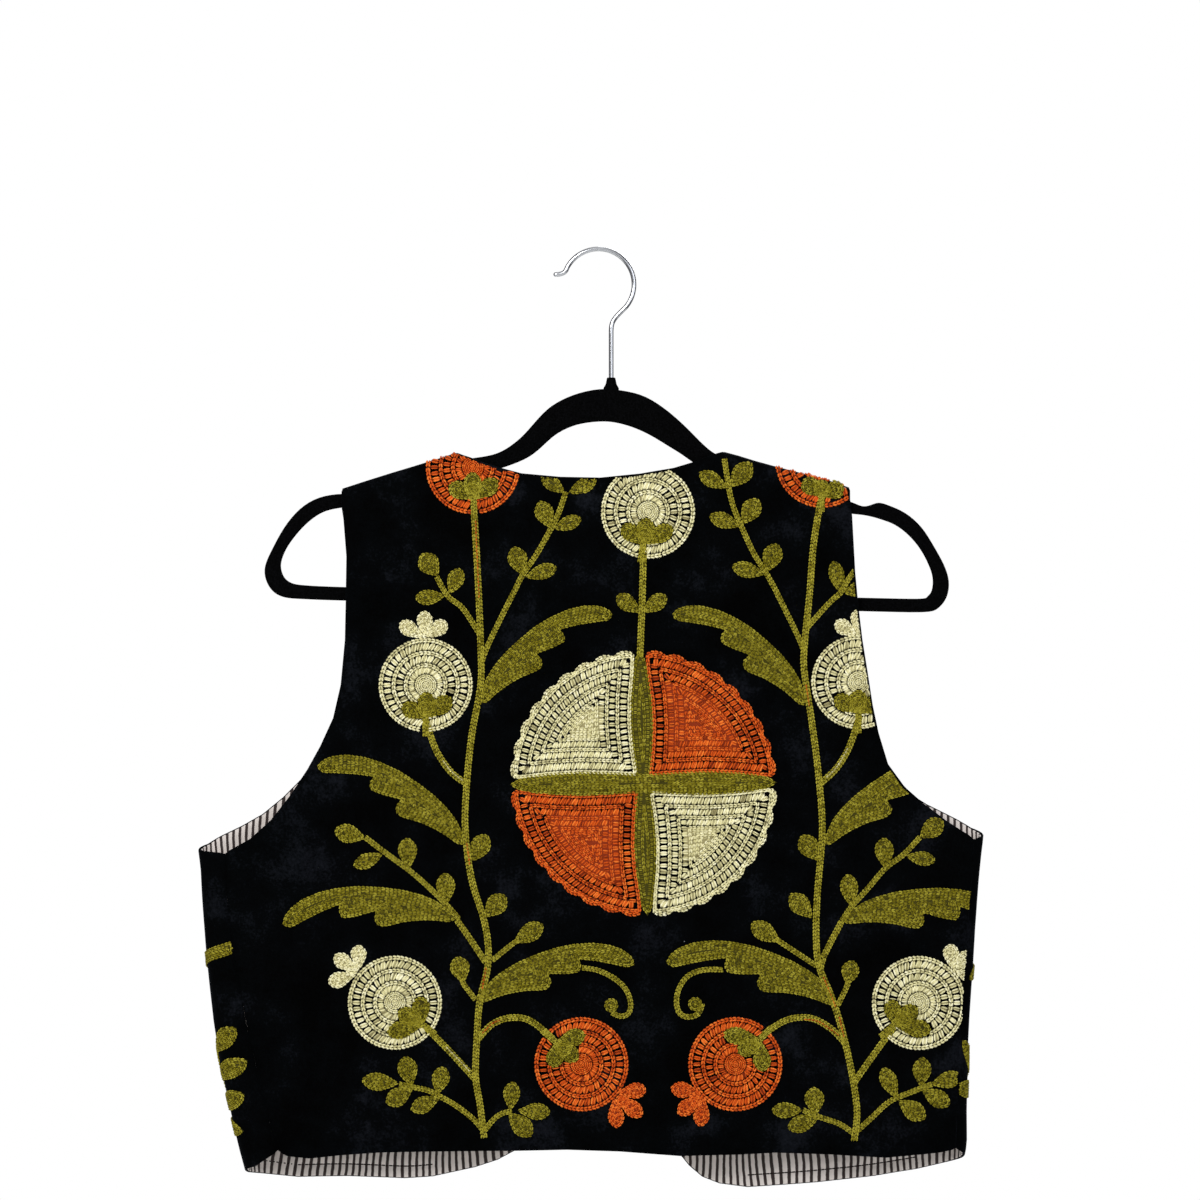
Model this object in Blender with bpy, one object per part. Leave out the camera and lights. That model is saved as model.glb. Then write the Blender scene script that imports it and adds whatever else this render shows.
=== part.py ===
"""A sleeveless velvet waistcoat, lined in striped cotton, on a slim flocked hanger with a wire hook.

Metres, +Z up. The origin is the inside of the hook's crown. The garment's back faces -Y, its fronts +Y, and
+X is the wearer's right. Tables of measured points are in units of 0.65 mm, x to the right and y down.
"""

import math

import bmesh
import bpy
from mathutils import Vector
from mathutils.geometry import delaunay_2d_cdt

for old in list(bpy.data.objects):
    bpy.data.objects.remove(old, do_unlink=True)

MM = 0.001
UNIT = 0.65  # mm for one unit of the measured tables
CROWN = (598.5, 251.3)  # the inside of the hook's crown, in those units

VELVET_THICK = 1.3
LINING_THICK = 1.0
LINING_GAP = 0.5  # between the velvet's inner face and the lining
SEAM_GAP = 0.3  # between two pieces at a seam
RELIEF = 1.2  # how far the thick stitched rounds stand above the pile

HANGER_HALF = 2.5  # half the flocked body's thickness
WIRE_RADIUS = 1.55
BORE_RADIUS = 1.85

FOLD_STEPS = 8  # columns round a side fold
LATTICE = 23.0  # mm between the free points of a wall
ROLL_DROPS = (0.45, 1.6, 3.4, 5.6)  # rows below the shoulder seam, where cloth rolls over the hanger

# Edges of the back panel and the side folds, in units, each row (x, y).
SHOULDER_LEFT = ((342.5, 488.0), (363.9, 481.0), (391.2, 472.4), (414.5, 465.4), (441.7, 457.0), (455.4, 452.4))
SHOULDER_RIGHT = ((724.7, 451.4), (738.0, 454.9), (754.3, 460.0), (774.7, 465.6), (811.4, 475.0), (835.9, 482.0),
                  (849.2, 487.0))
BACK_NECK = ((463.0, 455.6), (472.9, 459.2), (488.4, 465.0), (504.0, 469.6), (521.5, 474.2), (560.0, 477.7),
             (600.0, 478.5), (640.0, 474.5), (673.7, 468.8), (693.1, 463.0), (715.5, 454.3))
BACK_ARM_LEFT = ((342.5, 506.4), (344.5, 519.5), (347.4, 556.4), (346.8, 601.0), (346.0, 640.0), (341.8, 685.0),
                 (334.2, 718.3), (321.4, 746.3), (308.7, 769.3), (291.1, 796.1), (271.7, 820.6), (251.3, 839.0),
                 (238.1, 846.4))
BACK_ARM_RIGHT = ((849.2, 499.4), (851.2, 515.7), (854.3, 572.9), (857.3, 605.5), (861.4, 639.8), (866.6, 672.3),
                  (871.7, 705.5), (877.5, 733.0), (887.0, 764.2), (903.6, 787.1), (922.0, 803.3), (945.5, 821.0),
                  (960.0, 830.5))
SEAM_LEFT = ((225.8, 853.3), (226.8, 877.8), (230.0, 919.0), (235.7, 957.4), (242.4, 995.7), (250.0, 1033.9),
             (258.7, 1072.2), (267.3, 1106.6), (274.0, 1134.0), (278.7, 1148.7))
SEAM_RIGHT = ((973.6, 839.0), (973.0, 857.0), (971.6, 877.8), (969.6, 900.0), (966.8, 938.3), (964.0, 976.5),
              (961.3, 1014.8), (959.2, 1043.5), (957.5, 1081.8), (956.5, 1120.0), (955.6, 1146.8))
BACK_HEM = ((288.0, 1153.0), (340.0, 1155.0), (404.5, 1153.5), (460.0, 1152.0), (515.0, 1151.5), (567.0, 1150.0),
            (620.0, 1151.5), (700.0, 1154.5), (790.0, 1156.0), (880.0, 1155.4), (937.4, 1150.6))
FOLD_LEFT = ((840.0, 198.3), (851.0, 198.3), (867.6, 200.3), (900.0, 202.2), (949.7, 206.0), (1022.4, 213.7),
             (1062.6, 220.4), (1095.2, 227.1), (1121.9, 232.8), (1146.8, 238.6), (1173.6, 246.0))
FOLD_RIGHT = ((836.9, 983.3), (852.0, 981.5), (878.0, 979.0), (900.0, 977.2), (928.7, 975.0), (967.0, 973.0),
              (1014.8, 969.5), (1049.0, 968.2), (1072.2, 968.0), (1110.0, 967.0), (1144.9, 967.0), (1159.3, 964.0))

# Edges of the two fronts, seen from the back, same units.
FRONT_ARM_LEFT = ((345.0, 505.0), (350.0, 530.0), (356.0, 560.0), (359.0, 601.0), (358.0, 640.0), (352.0, 685.0),
                  (341.0, 718.0), (327.0, 746.0), (313.0, 766.0), (300.3, 780.8), (283.0, 798.2), (262.6, 815.0),
                  (242.1, 826.7), (220.7, 837.0), (207.0, 845.0))
FRONT_ARM_RIGHT = ((846.5, 505.0), (842.0, 540.0), (840.0, 580.0), (842.0, 625.0), (849.0, 672.0), (860.0, 712.0),
                   (875.0, 747.0), (892.0, 774.0), (913.9, 797.1), (927.1, 805.3), (941.4, 812.4), (956.7, 820.1),
                   (972.0, 829.0))
FRONT_NECK_LEFT = ((456.5, 470.0), (461.0, 505.0), (470.0, 560.0), (484.0, 620.0), (503.0, 680.0), (522.0, 726.0),
                   (536.0, 752.0), (541.0, 772.0))
FRONT_NECK_RIGHT = ((723.5, 470.0), (718.0, 505.0), (706.0, 560.0), (690.0, 620.0), (669.0, 680.0), (648.0, 724.0),
                    (632.0, 748.0), (625.0, 768.0))
FRONT_EDGE_LEFT = ((540.0, 860.0), (537.5, 960.0), (535.0, 1060.0), (534.0, 1100.0), (531.0, 1122.0),
                   (524.0, 1140.0), (513.0, 1152.5), (497.0, 1161.0), (475.0, 1168.0))
FRONT_EDGE_RIGHT = ((634.0, 860.0), (646.0, 960.0), (657.0, 1060.0), (662.0, 1105.0), (667.0, 1130.0),
                    (677.0, 1151.0), (690.0, 1167.0), (703.0, 1178.0), (720.0, 1184.5))
FRONT_HEM_LEFT = ((432.5, 1176.0), (404.0, 1178.0), (348.0, 1175.5), (298.0, 1177.0))
FRONT_HEM_RIGHT = ((748.0, 1187.0), (818.5, 1184.0), (875.0, 1177.0), (917.0, 1169.0))

# Half the distance between the outer faces of back and front, mm: (height, half depth).
HALF_DEPTH = ((-120.0, 5.6), (-156.0, 5.6), (-200.0, 6.7), (-250.0, 8.0), (-390.0, 12.0), (-480.0, 14.0),
              (-610.0, 16.0))

# Soft folds, mm: (x at the top, height of the top, x at the hem, width, depth at the hem; outward is positive).
FOLDS_BACK = (
    (-150.0, -330.0, -176.0, 34.0, 2.2),
    (-62.0, -470.0, -70.0, 40.0, -1.8),
    (30.0, -440.0, 22.0, 52.0, 1.6),
    (120.0, -480.0, 128.0, 38.0, -2.0),
    (178.0, -340.0, 196.0, 30.0, 2.0),
)
FOLDS_FRONT = (
    (-172.0, -340.0, -186.0, 36.0, 2.4),
    (-104.0, -430.0, -112.0, 30.0, -2.6),
    (-52.0, -300.0, -56.0, 34.0, 3.0),
    (44.0, -310.0, 62.0, 34.0, 2.8),
    (106.0, -420.0, 122.0, 34.0, -2.4),
    (176.0, -360.0, 190.0, 34.0, 2.2),
)

# Thick stitched rounds on the back, in units: (x, y, radius).
ROUNDS = (
    (643.0, 785.0, 130.0),
    (473.0, 467.5, 46.5),
    (822.0, 462.0, 46.5),
    (648.0, 512.0, 46.5),
    (426.0, 685.0, 46.5),
    (858.0, 682.0, 46.5),
    (395.5, 1001.7, 46.5),
    (918.0, 1002.0, 46.5),
    (581.5, 1063.0, 46.5),
    (735.0, 1063.0, 46.5),
)

# The flocked hanger, clockwise from the top of its arch, in units: (outer x, outer y, inner x, inner y).
HANGER = (
    (600.0, 388.8, 600.0, 421.5),
    (623.0, 390.6, 615.0, 422.5),
    (646.0, 396.5, 632.0, 427.0),
    (669.0, 411.8, 650.0, 435.0),
    (688.0, 429.0, 668.0, 446.0),
    (703.0, 444.3, 684.0, 455.8),
    (716.7, 455.0, 700.0, 467.0),
    (738.0, 462.5, 732.0, 477.0),
    (774.7, 475.0, 770.0, 490.0),
    (811.4, 488.0, 806.0, 503.0),
    (850.2, 501.4, 846.0, 513.0),
    (862.4, 506.5, 858.0, 514.5),
    (870.6, 505.1, 865.5, 515.5),
    (878.8, 502.4, 873.7, 517.3),
    (889.0, 505.5, 884.0, 520.5),
    (905.3, 512.7, 895.1, 524.9),
    (921.6, 526.9, 908.0, 534.5),
    (933.9, 546.3, 920.0, 548.5),
    (944.1, 564.7, 928.5, 564.5),
    (949.2, 581.0, 932.9, 578.0),
    (947.1, 597.3, 931.8, 591.2),
    (938.0, 608.6, 927.0, 596.5),
    (923.7, 612.7, 920.0, 599.0),
    (859.4, 611.2, 859.0, 597.6),
    (728.0, 608.6, 728.0, 595.0),
    (600.0, 606.0, 600.0, 592.4),
    (472.0, 603.4, 472.0, 589.8),
    (344.5, 600.8, 344.5, 587.2),
    (303.6, 599.2, 303.0, 585.2),
    (284.2, 597.7, 292.0, 583.2),
    (272.5, 591.4, 285.5, 579.0),
    (265.7, 579.8, 282.0, 572.5),
    (264.7, 566.2, 280.9, 563.0),
    (272.5, 548.7, 286.1, 549.0),
    (284.2, 527.3, 296.8, 534.0),
    (299.7, 508.8, 309.5, 521.0),
    (319.0, 497.2, 325.0, 511.0),
    (342.5, 493.6, 344.0, 507.5),
    (352.0, 495.0, 354.0, 505.5),
    (363.9, 487.5, 368.0, 501.0),
    (391.2, 478.6, 396.0, 493.0),
    (414.5, 471.6, 419.0, 486.0),
    (441.7, 463.6, 447.0, 478.0),
    (470.7, 458.4, 474.0, 473.0),
    (485.0, 456.4, 490.0, 471.3),
    (501.3, 451.9, 507.0, 466.5),
    (520.4, 438.5, 530.0, 457.0),
    (535.7, 421.3, 546.0, 443.0),
    (551.0, 406.0, 558.0, 433.0),
    (574.0, 394.5, 577.0, 424.5),
)
NECK_X = 8.25  # the wire's stem and the collar round it, mm
COLLAR = ((-96.0, 5.2, 2.3), (-89.0, 5.0, 2.4), (-86.5, 3.6, 2.75), (-82.4, 2.75, 2.75))  # (height, x and y radius)
BORE_BOTTOM = -92.0

# The hook's centre line, mm: the tip, a circle over the top, then the stem.
HOOK_TIP = ((-27.8, -15.1), (-25.2, -14.9), (-22.6, -14.0), (-20.8, -12.2))
HOOK_CIRCLE = (0.0, -21.58, 23.1)  # (x, z, radius)
HOOK_ARC = (152.0, -40.0)  # degrees, from the tip's side over the crown
HOOK_STEM = ((13.6, -40.4), (10.6, -43.8), (8.8, -47.2), (8.3, -51.0), (NECK_X, -56.0), (NECK_X, -91.5))


def mm(x, y):
    """A measured point as (x, z) in mm."""
    return ((x - CROWN[0]) * UNIT, (CROWN[1] - y) * UNIT)


def between(table, at):
    """The second column of a table at a value of its first, which may run up or down."""
    rows = table if table[0][0] <= table[-1][0] else tuple(reversed(table))
    if at <= rows[0][0]:
        return rows[0][1]
    for (a, va), (b, vb) in zip(rows, rows[1:]):
        if at <= b:
            return va + (vb - va) * (at - a) / (b - a)
    return rows[-1][1]


SHOULDER_L = tuple(mm(*row) for row in SHOULDER_LEFT)
SHOULDER_R = tuple(mm(*row) for row in SHOULDER_RIGHT)
EDGE_L = tuple((mm(0, y)[1], mm(x, 0)[0]) for y, x in FOLD_LEFT)
EDGE_R = tuple((mm(0, y)[1], mm(x, 0)[0]) for y, x in FOLD_RIGHT)
SLOPE = 0.30


def shoulder(x):
    """Height of the shoulder seam's line at x, carried on past its ends."""
    if x < SHOULDER_L[0][0]:
        left = SHOULDER_L[0][1] - SLOPE * (SHOULDER_L[0][0] - x)
    elif x > SHOULDER_L[-1][0]:
        left = SHOULDER_L[-1][1] + SLOPE * (x - SHOULDER_L[-1][0])
    else:
        left = between(SHOULDER_L, x)
    if x > SHOULDER_R[-1][0]:
        right = SHOULDER_R[-1][1] - SLOPE * (x - SHOULDER_R[-1][0])
    elif x < SHOULDER_R[0][0]:
        right = SHOULDER_R[0][1] + SLOPE * (SHOULDER_R[0][0] - x)
    else:
        right = between(SHOULDER_R, x)
    return left if x < -5.0 else right


def half_depth(z):
    return between(HALF_DEPTH, z)


def smooth(t):
    t = min(1.0, max(0.0, t))
    return t * t * (3.0 - 2.0 * t)


def fold_push(folds, x, z):
    """How far the soft folds move the cloth outwards at a point of the flat run."""
    h = half_depth(z)
    fade = smooth(min(x - (between(EDGE_L, z) + h), (between(EDGE_R, z) - h) - x) / 26.0)
    total = 0.0
    for x_top, z_top, x_hem, width, depth in folds:
        along = smooth((z_top - z) / (z_top + 600.0)) if z < z_top else 0.0
        centre = x_top + (x_hem - x_top) * along
        away = abs(x - centre) / width
        if away < 1.0:
            total += depth * along * math.cos(away * math.pi / 2.0) ** 2
    return total * fade


def place(side, folds, u, z, inward):
    """Point of the cloth at u along its girth and height z, `inward` from the outer face.

    Side is -1 for the back and 1 for the fronts; u is x on the flat run and arc length round the side folds.
    """
    h = half_depth(z)
    left = between(EDGE_L, z) + h
    right = between(EDGE_R, z) - h
    if u > right:
        turn = (u - right) / h
        if turn > math.pi:
            return Vector((right - (turn - math.pi) * h, -side * (h - inward), z))
        reach = h - inward
        return Vector((right + reach * math.sin(turn), side * reach * math.cos(turn), z))
    if u < left:
        turn = (left - u) / h
        if turn > math.pi:
            return Vector((left + (turn - math.pi) * h, -side * (h - inward), z))
        reach = h - inward
        return Vector((left - reach * math.sin(turn), side * reach * math.cos(turn), z))
    drop = shoulder(u) - z
    if drop < h:
        drop = max(0.0, drop)
        ny = math.sqrt(max(0.0, h * h - (h - drop) ** 2)) / h
        nz = (h - drop) / h
        y = max(SEAM_GAP / 2.0, ny * (h - inward))
        return Vector((u, side * y, z - nz * inward))
    return Vector((u, side * (h - inward + fold_push(folds, u, z)), z))


def unrolled(x, z, far, seam_side):
    """The girth coordinate u of a point seen at x: `far` when it lies past the side fold's extreme."""
    h = half_depth(z)
    left = between(EDGE_L, z) + h
    right = between(EDGE_R, z) - h
    if seam_side > 0:
        lean = math.asin(min(1.0, max(0.0, (x - right) / h)))
        if not far:
            return x if x < right else right + h * lean
        return right + h * (math.pi - lean) if x > right else right + h * math.pi + (right - x)
    lean = math.asin(min(1.0, max(0.0, (left - x) / h)))
    if not far:
        return x if x > left else left - h * lean
    return left - h * (math.pi - lean) if x < left else left - h * math.pi - (x - left)


def line(rows, far=False, seam_side=0, shift=0.0):
    """A measured edge as (u, z) points."""
    points = []
    for row in rows:
        x, z = mm(*row)
        u = x
        if seam_side:
            u = unrolled(x, z, far, seam_side)
        points.append((u + shift, z))
    return points


def back_outline():
    gap = SEAM_GAP / 2.0
    points = line(SHOULDER_LEFT)
    points += line(BACK_NECK)
    points += line(SHOULDER_RIGHT)
    points += line(BACK_ARM_RIGHT)
    points += line(SEAM_RIGHT, False, 1, -gap)
    points += line(tuple(reversed(BACK_HEM)))
    points += line(tuple(reversed(SEAM_LEFT)), False, -1, gap)
    points += line(tuple(reversed(BACK_ARM_LEFT)))
    return points


def front_left_outline():
    gap = SEAM_GAP / 2.0
    points = line(tuple(reversed(SHOULDER_LEFT)))
    points += line(FRONT_ARM_LEFT, False, -1)
    points += [(unrolled(*mm(198.3, 850.0), True, -1), mm(0, 850.0)[1])]
    points += line(SEAM_LEFT, True, -1, gap)
    points += [(unrolled(mm(256.0, 0)[0], mm(0, 1164.0)[1], True, -1), mm(0, 1164.0)[1])]
    points += [(unrolled(mm(247.0, 0)[0], mm(0, 1172.0)[1], False, -1), mm(0, 1172.0)[1])]
    points += line(tuple(reversed(FRONT_HEM_LEFT)), False, -1)
    points += line(tuple(reversed(FRONT_EDGE_LEFT)))
    points += line(tuple(reversed(FRONT_NECK_LEFT)))
    return points


def front_right_outline():
    gap = SEAM_GAP / 2.0
    points = line(SHOULDER_RIGHT)
    points += line(FRONT_ARM_RIGHT, False, 1)
    points += [(unrolled(*mm(983.0, 836.5), True, 1), mm(0, 836.5)[1])]
    points += line(SEAM_RIGHT, True, 1, -gap)
    points += [(unrolled(mm(963.0, 0)[0], mm(0, 1157.5)[1], False, 1), mm(0, 1157.5)[1])]
    points += line(tuple(reversed(FRONT_HEM_RIGHT)), False, 1)
    points += line(tuple(reversed(FRONT_EDGE_RIGHT)))
    points += line(tuple(reversed(FRONT_NECK_RIGHT)))
    return points


def inside(polygon, u, z):
    odd = False
    for (u1, z1), (u2, z2) in zip(polygon, polygon[1:] + polygon[:1]):
        if (z1 > z) != (z2 > z) and u < (u2 - u1) * (z - z1) / (z2 - z1) + u1:
            odd = not odd
    return odd


def near(segments, u, z):
    """Distance from a point to the nearest of many segments."""
    best = 1e9
    for u1, z1, u2, z2 in segments:
        du, dz = u2 - u1, z2 - z1
        size = du * du + dz * dz
        t = 0.0 if size == 0.0 else min(1.0, max(0.0, ((u - u1) * du + (z - z1) * dz) / size))
        best = min(best, math.hypot(u1 + t * du - u, z1 + t * dz - z))
    return best


def guide_lines(outline):
    """Rows over the shoulder and columns round the side folds, as polylines that the wall's edges follow."""
    lines = []
    for drop in ROLL_DROPS:
        for start, end in ((-167.5, -60.0), (55.0, 164.0)):
            steps = 9
            lines.append([
                (start + (end - start) * i / steps, shoulder(start + (end - start) * i / steps) - drop)
                for i in range(steps + 1)
            ])
    low = min(z for _, z in outline) - 6.0
    for sign in (-1, 1):
        for k in range(FOLD_STEPS + 1):
            column = []
            for i in range(12):
                z = -372.0 + (low + 372.0) * i / 11
                h = half_depth(z)
                turn = math.pi * k / FOLD_STEPS
                if sign > 0:
                    column.append((between(EDGE_R, z) - h + h * turn, z))
                else:
                    column.append((between(EDGE_L, z) + h - h * turn, z))
            lines.append(column)
    return lines


def triangulate(outline, rounds):
    """Points and triangles of a wall's face in (u, z)."""
    points, edges = [], []

    def chain(run, closed):
        first = len(points)
        points.extend(run)
        count = len(run)
        edges.extend((first + i, first + i + 1) for i in range(count - 1))
        if closed:
            edges.append((first + count - 1, first))

    chain(outline, True)
    for run in guide_lines(outline):
        chain(run, False)
    for x, z, radius in rounds:
        count = 48 if radius > 50.0 else 22
        for size in (radius, radius - 1.4):
            chain([
                (x + size * math.cos(math.tau * i / count), z + size * math.sin(math.tau * i / count))
                for i in range(count)
            ], True)
    segments = [(*points[a], *points[b]) for a, b in edges]
    low_u = min(u for u, _ in outline)
    high_u = max(u for u, _ in outline)
    low_z = min(z for _, z in outline)
    high_z = max(z for _, z in outline)
    row = 0
    z = low_z + LATTICE * 0.5
    while z < high_z:
        u = low_u + LATTICE * (0.5 if row % 2 else 1.0)
        while u < high_u:
            if inside(outline, u, z) and near(segments, u, z) > LATTICE * 0.36:
                points.append((u, z))
            u += LATTICE
        row += 1
        z += LATTICE * 0.87
    made, _, faces, *_ = delaunay_2d_cdt([Vector(p) for p in points], edges, [], 0, 1e-3, False)
    kept = []
    for a, b, c in faces:
        pa, pb, pc = made[a], made[b], made[c]
        middle = (pa + pb + pc) / 3.0
        area = (pb.x - pa.x) * (pc.y - pa.y) - (pb.y - pa.y) * (pc.x - pa.x)
        if abs(area) < 1e-5 or not inside(outline, middle.x, middle.y):
            continue
        kept.append((a, b, c) if area > 0 else (a, c, b))
    return made, kept


def raised(rounds, u, z):
    """Height of the stitched rounds above the pile."""
    most = 0.0
    for x, mid, radius in rounds:
        most = max(most, min(1.0, max(0.0, (radius - math.hypot(u - x, z - mid)) / 1.4)))
    return RELIEF * most


def finish(name, bm, material):
    bmesh.ops.remove_doubles(bm, verts=bm.verts, dist=1e-7)
    mesh = bpy.data.meshes.new(name)
    bm.to_mesh(mesh)
    bm.free()
    mesh.materials.append(material)
    made = bpy.data.objects.new(name, mesh)
    parts.objects.link(made)
    return made


def wall(name, side, folds, outline, outer, inner, rounds, material):
    """One piece of cloth as a closed wall: an outer face, its copy moved inwards, and a strip round the edge."""
    flat, triangles = triangulate(outline, rounds)
    used = sorted({i for triangle in triangles for i in triangle})
    bm = bmesh.new()
    outside, within = {}, {}
    for i in used:
        u, z = flat[i].x, flat[i].y
        out = place(side, folds, u, z, outer - raised(rounds, u, z))
        outside[i] = bm.verts.new(out * MM)
        within[i] = bm.verts.new(place(side, folds, u, z, inner) * MM)
    directed = set()
    for triangle in triangles:
        a, b, c = triangle if side < 0 else tuple(reversed(triangle))
        bm.faces.new((outside[a], outside[b], outside[c]))
        bm.faces.new((within[c], within[b], within[a]))
        directed.update(((a, b), (b, c), (c, a)))
    for a, b in directed:
        if (b, a) not in directed:
            bm.faces.new((outside[b], outside[a], within[a], within[b]))
    return finish(name, bm, material)


def principled(name, color, rough, metal=0.0):
    material = bpy.data.materials.new(name)
    material.use_nodes = True
    shader = material.node_tree.nodes["Principled BSDF"]
    shader.inputs["Base Color"].default_value = (*color, 1.0)
    shader.inputs["Roughness"].default_value = rough
    shader.inputs["Metallic"].default_value = metal
    return material


def collection(name):
    made = bpy.data.collections.new(name)
    bpy.context.scene.collection.children.link(made)
    return made


def tube(name, path, radius, material, group):
    """A round wire along (x, z) points in mm."""
    curve = bpy.data.curves.new(name, "CURVE")
    curve.dimensions = "3D"
    curve.bevel_depth = radius * MM
    curve.bevel_resolution = 2
    curve.use_fill_caps = True
    spline = curve.splines.new("POLY")
    spline.points.add(len(path) - 1)
    for point, (x, z) in zip(spline.points, path):
        point.co = (x * MM, 0.0, z * MM, 1.0)
    curve.materials.append(material)
    made = bpy.data.objects.new(name, curve)
    group.objects.link(made)
    return made


def ring_body(name, stations, half, material):
    """The hanger's body: an eight-sided section carried round its closed outline."""
    bm = bmesh.new()
    rings = []
    for row in stations:
        outer = Vector(mm(row[0], row[1]))
        inner = Vector(mm(row[2], row[3]))
        along = (outer - inner).normalized()
        width = (outer - inner).length
        cut = min(2.0, width * 0.3)
        section = (
            (0.0, 0.9), (cut, half), (width - cut, half), (width, 0.9),
            (width, -0.9), (width - cut, -half), (cut, -half), (0.0, -0.9),
        )
        ring = []
        for reach, y in section:
            point = inner + along * reach
            ring.append(bm.verts.new(Vector((point.x, y, point.y)) * MM))
        rings.append(ring)
    count = len(rings)
    for i in range(count):
        one, two = rings[i], rings[(i + 1) % count]
        for k in range(8):
            n = (k + 1) % 8
            bm.faces.new((one[k], one[n], two[n], two[k]))
    bmesh.ops.recalc_face_normals(bm, faces=bm.faces)
    return finish(name, bm, material)


def lathe(name, centre, rows, sides, group):
    """Stacked elliptical rings at x = centre, y = 0, capped at both ends."""
    bm = bmesh.new()
    rings = []
    for z, rx, ry in rows:
        rings.append([
            bm.verts.new(Vector((
                centre + rx * math.cos(math.tau * (i + 0.5) / sides),
                ry * math.sin(math.tau * (i + 0.5) / sides),
                z,
            )) * MM)
            for i in range(sides)
        ])
    for one, two in zip(rings, rings[1:]):
        for i in range(sides):
            n = (i + 1) % sides
            bm.faces.new((one[i], one[n], two[n], two[i]))
    bm.faces.new(list(reversed(rings[0])))
    bm.faces.new(rings[-1])
    bmesh.ops.recalc_face_normals(bm, faces=bm.faces)
    mesh = bpy.data.meshes.new(name)
    bm.to_mesh(mesh)
    bm.free()
    made = bpy.data.objects.new(name, mesh)
    group.objects.link(made)
    made.hide_render = True
    made.display_type = "WIRE"
    return made


def boolean(target, cutter, operation):
    step = target.modifiers.new(operation.title(), "BOOLEAN")
    step.operation = operation
    step.solver = "EXACT"
    step.object = cutter


parts = collection("parts")
cutters = collection("cutters")

velvet = principled("velvet", (0.012, 0.013, 0.016), 0.9)
striped = principled("striped_cotton", (0.62, 0.59, 0.58), 0.85)
flock = principled("flock", (0.006, 0.006, 0.007), 0.95)
chrome = principled("chrome", (0.75, 0.76, 0.78), 0.12, 1.0)

rounds_mm = tuple((*mm(x, y), radius * UNIT) for x, y, radius in ROUNDS)
lining_outer = VELVET_THICK + LINING_GAP
lining_inner = lining_outer + LINING_THICK
PIECES = (
    ("back", -1, FOLDS_BACK, back_outline(), rounds_mm),
    ("front_left", 1, FOLDS_FRONT, front_left_outline(), ()),
    ("front_right", 1, FOLDS_FRONT, front_right_outline(), ()),
)
for piece, facing, folds, outline, rounds in PIECES:
    wall(piece, facing, folds, outline, 0.0, VELVET_THICK, rounds, velvet)
    wall(piece + "_lining", facing, folds, outline, lining_outer, lining_inner, (), striped)

hanger = ring_body("hanger", HANGER, HANGER_HALF, flock)
collar = lathe("cutter_collar", NECK_X, COLLAR, 24, cutters)
bore = lathe(
    "cutter_bore", NECK_X, ((BORE_BOTTOM, BORE_RADIUS, BORE_RADIUS), (-80.0, BORE_RADIUS, BORE_RADIUS)), 20, cutters
)
boolean(hanger, collar, "UNION")
boolean(hanger, bore, "DIFFERENCE")

cx, cz, ring = HOOK_CIRCLE
first, last = HOOK_ARC
arc = [
    (
        cx + ring * math.cos(math.radians(first + (last - first) * i / 28)),
        cz + ring * math.sin(math.radians(first + (last - first) * i / 28)),
    )
    for i in range(29)
]
tube("hook", list(HOOK_TIP) + arc + list(HOOK_STEM), WIRE_RADIUS, chrome, parts)
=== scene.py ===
import math

import bmesh
import bpy
import numpy as np
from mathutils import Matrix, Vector
from mathutils.geometry import delaunay_2d_cdt


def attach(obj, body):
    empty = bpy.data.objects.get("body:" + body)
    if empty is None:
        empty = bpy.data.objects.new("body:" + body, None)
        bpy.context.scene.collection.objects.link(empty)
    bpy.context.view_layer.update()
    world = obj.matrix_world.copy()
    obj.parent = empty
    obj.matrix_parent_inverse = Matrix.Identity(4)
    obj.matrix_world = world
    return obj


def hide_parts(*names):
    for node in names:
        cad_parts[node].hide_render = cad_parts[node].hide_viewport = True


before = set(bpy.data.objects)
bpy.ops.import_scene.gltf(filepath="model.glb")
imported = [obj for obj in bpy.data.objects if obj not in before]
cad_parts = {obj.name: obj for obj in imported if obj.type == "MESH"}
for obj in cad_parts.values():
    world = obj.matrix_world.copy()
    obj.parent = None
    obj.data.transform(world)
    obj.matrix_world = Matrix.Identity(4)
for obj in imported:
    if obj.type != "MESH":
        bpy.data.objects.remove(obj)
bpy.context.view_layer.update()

# Units: the tables of measured points are in steps of 0.65 mm, x to the right and y down, from the picture's
# corner; lengths elsewhere are in mm, and meshes are in metres. The garment's back faces -Y, its fronts +Y.
MM = 0.001
UNIT = 0.65
CROWN = (598.5, 251.3)  # the inside of the hook's crown, in units

VELVET_THICK = 1.3
LINING_OUTER = 1.65
LINING_INNER = 2.5
SEAM_GAP = -0.06  # the edges of a seam press into each other
LINING_INSET = 0.4  # how far the lining stops short of the velvet's turned edge
HEM_STITCH = 7.5  # the stitch line above the hem

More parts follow.
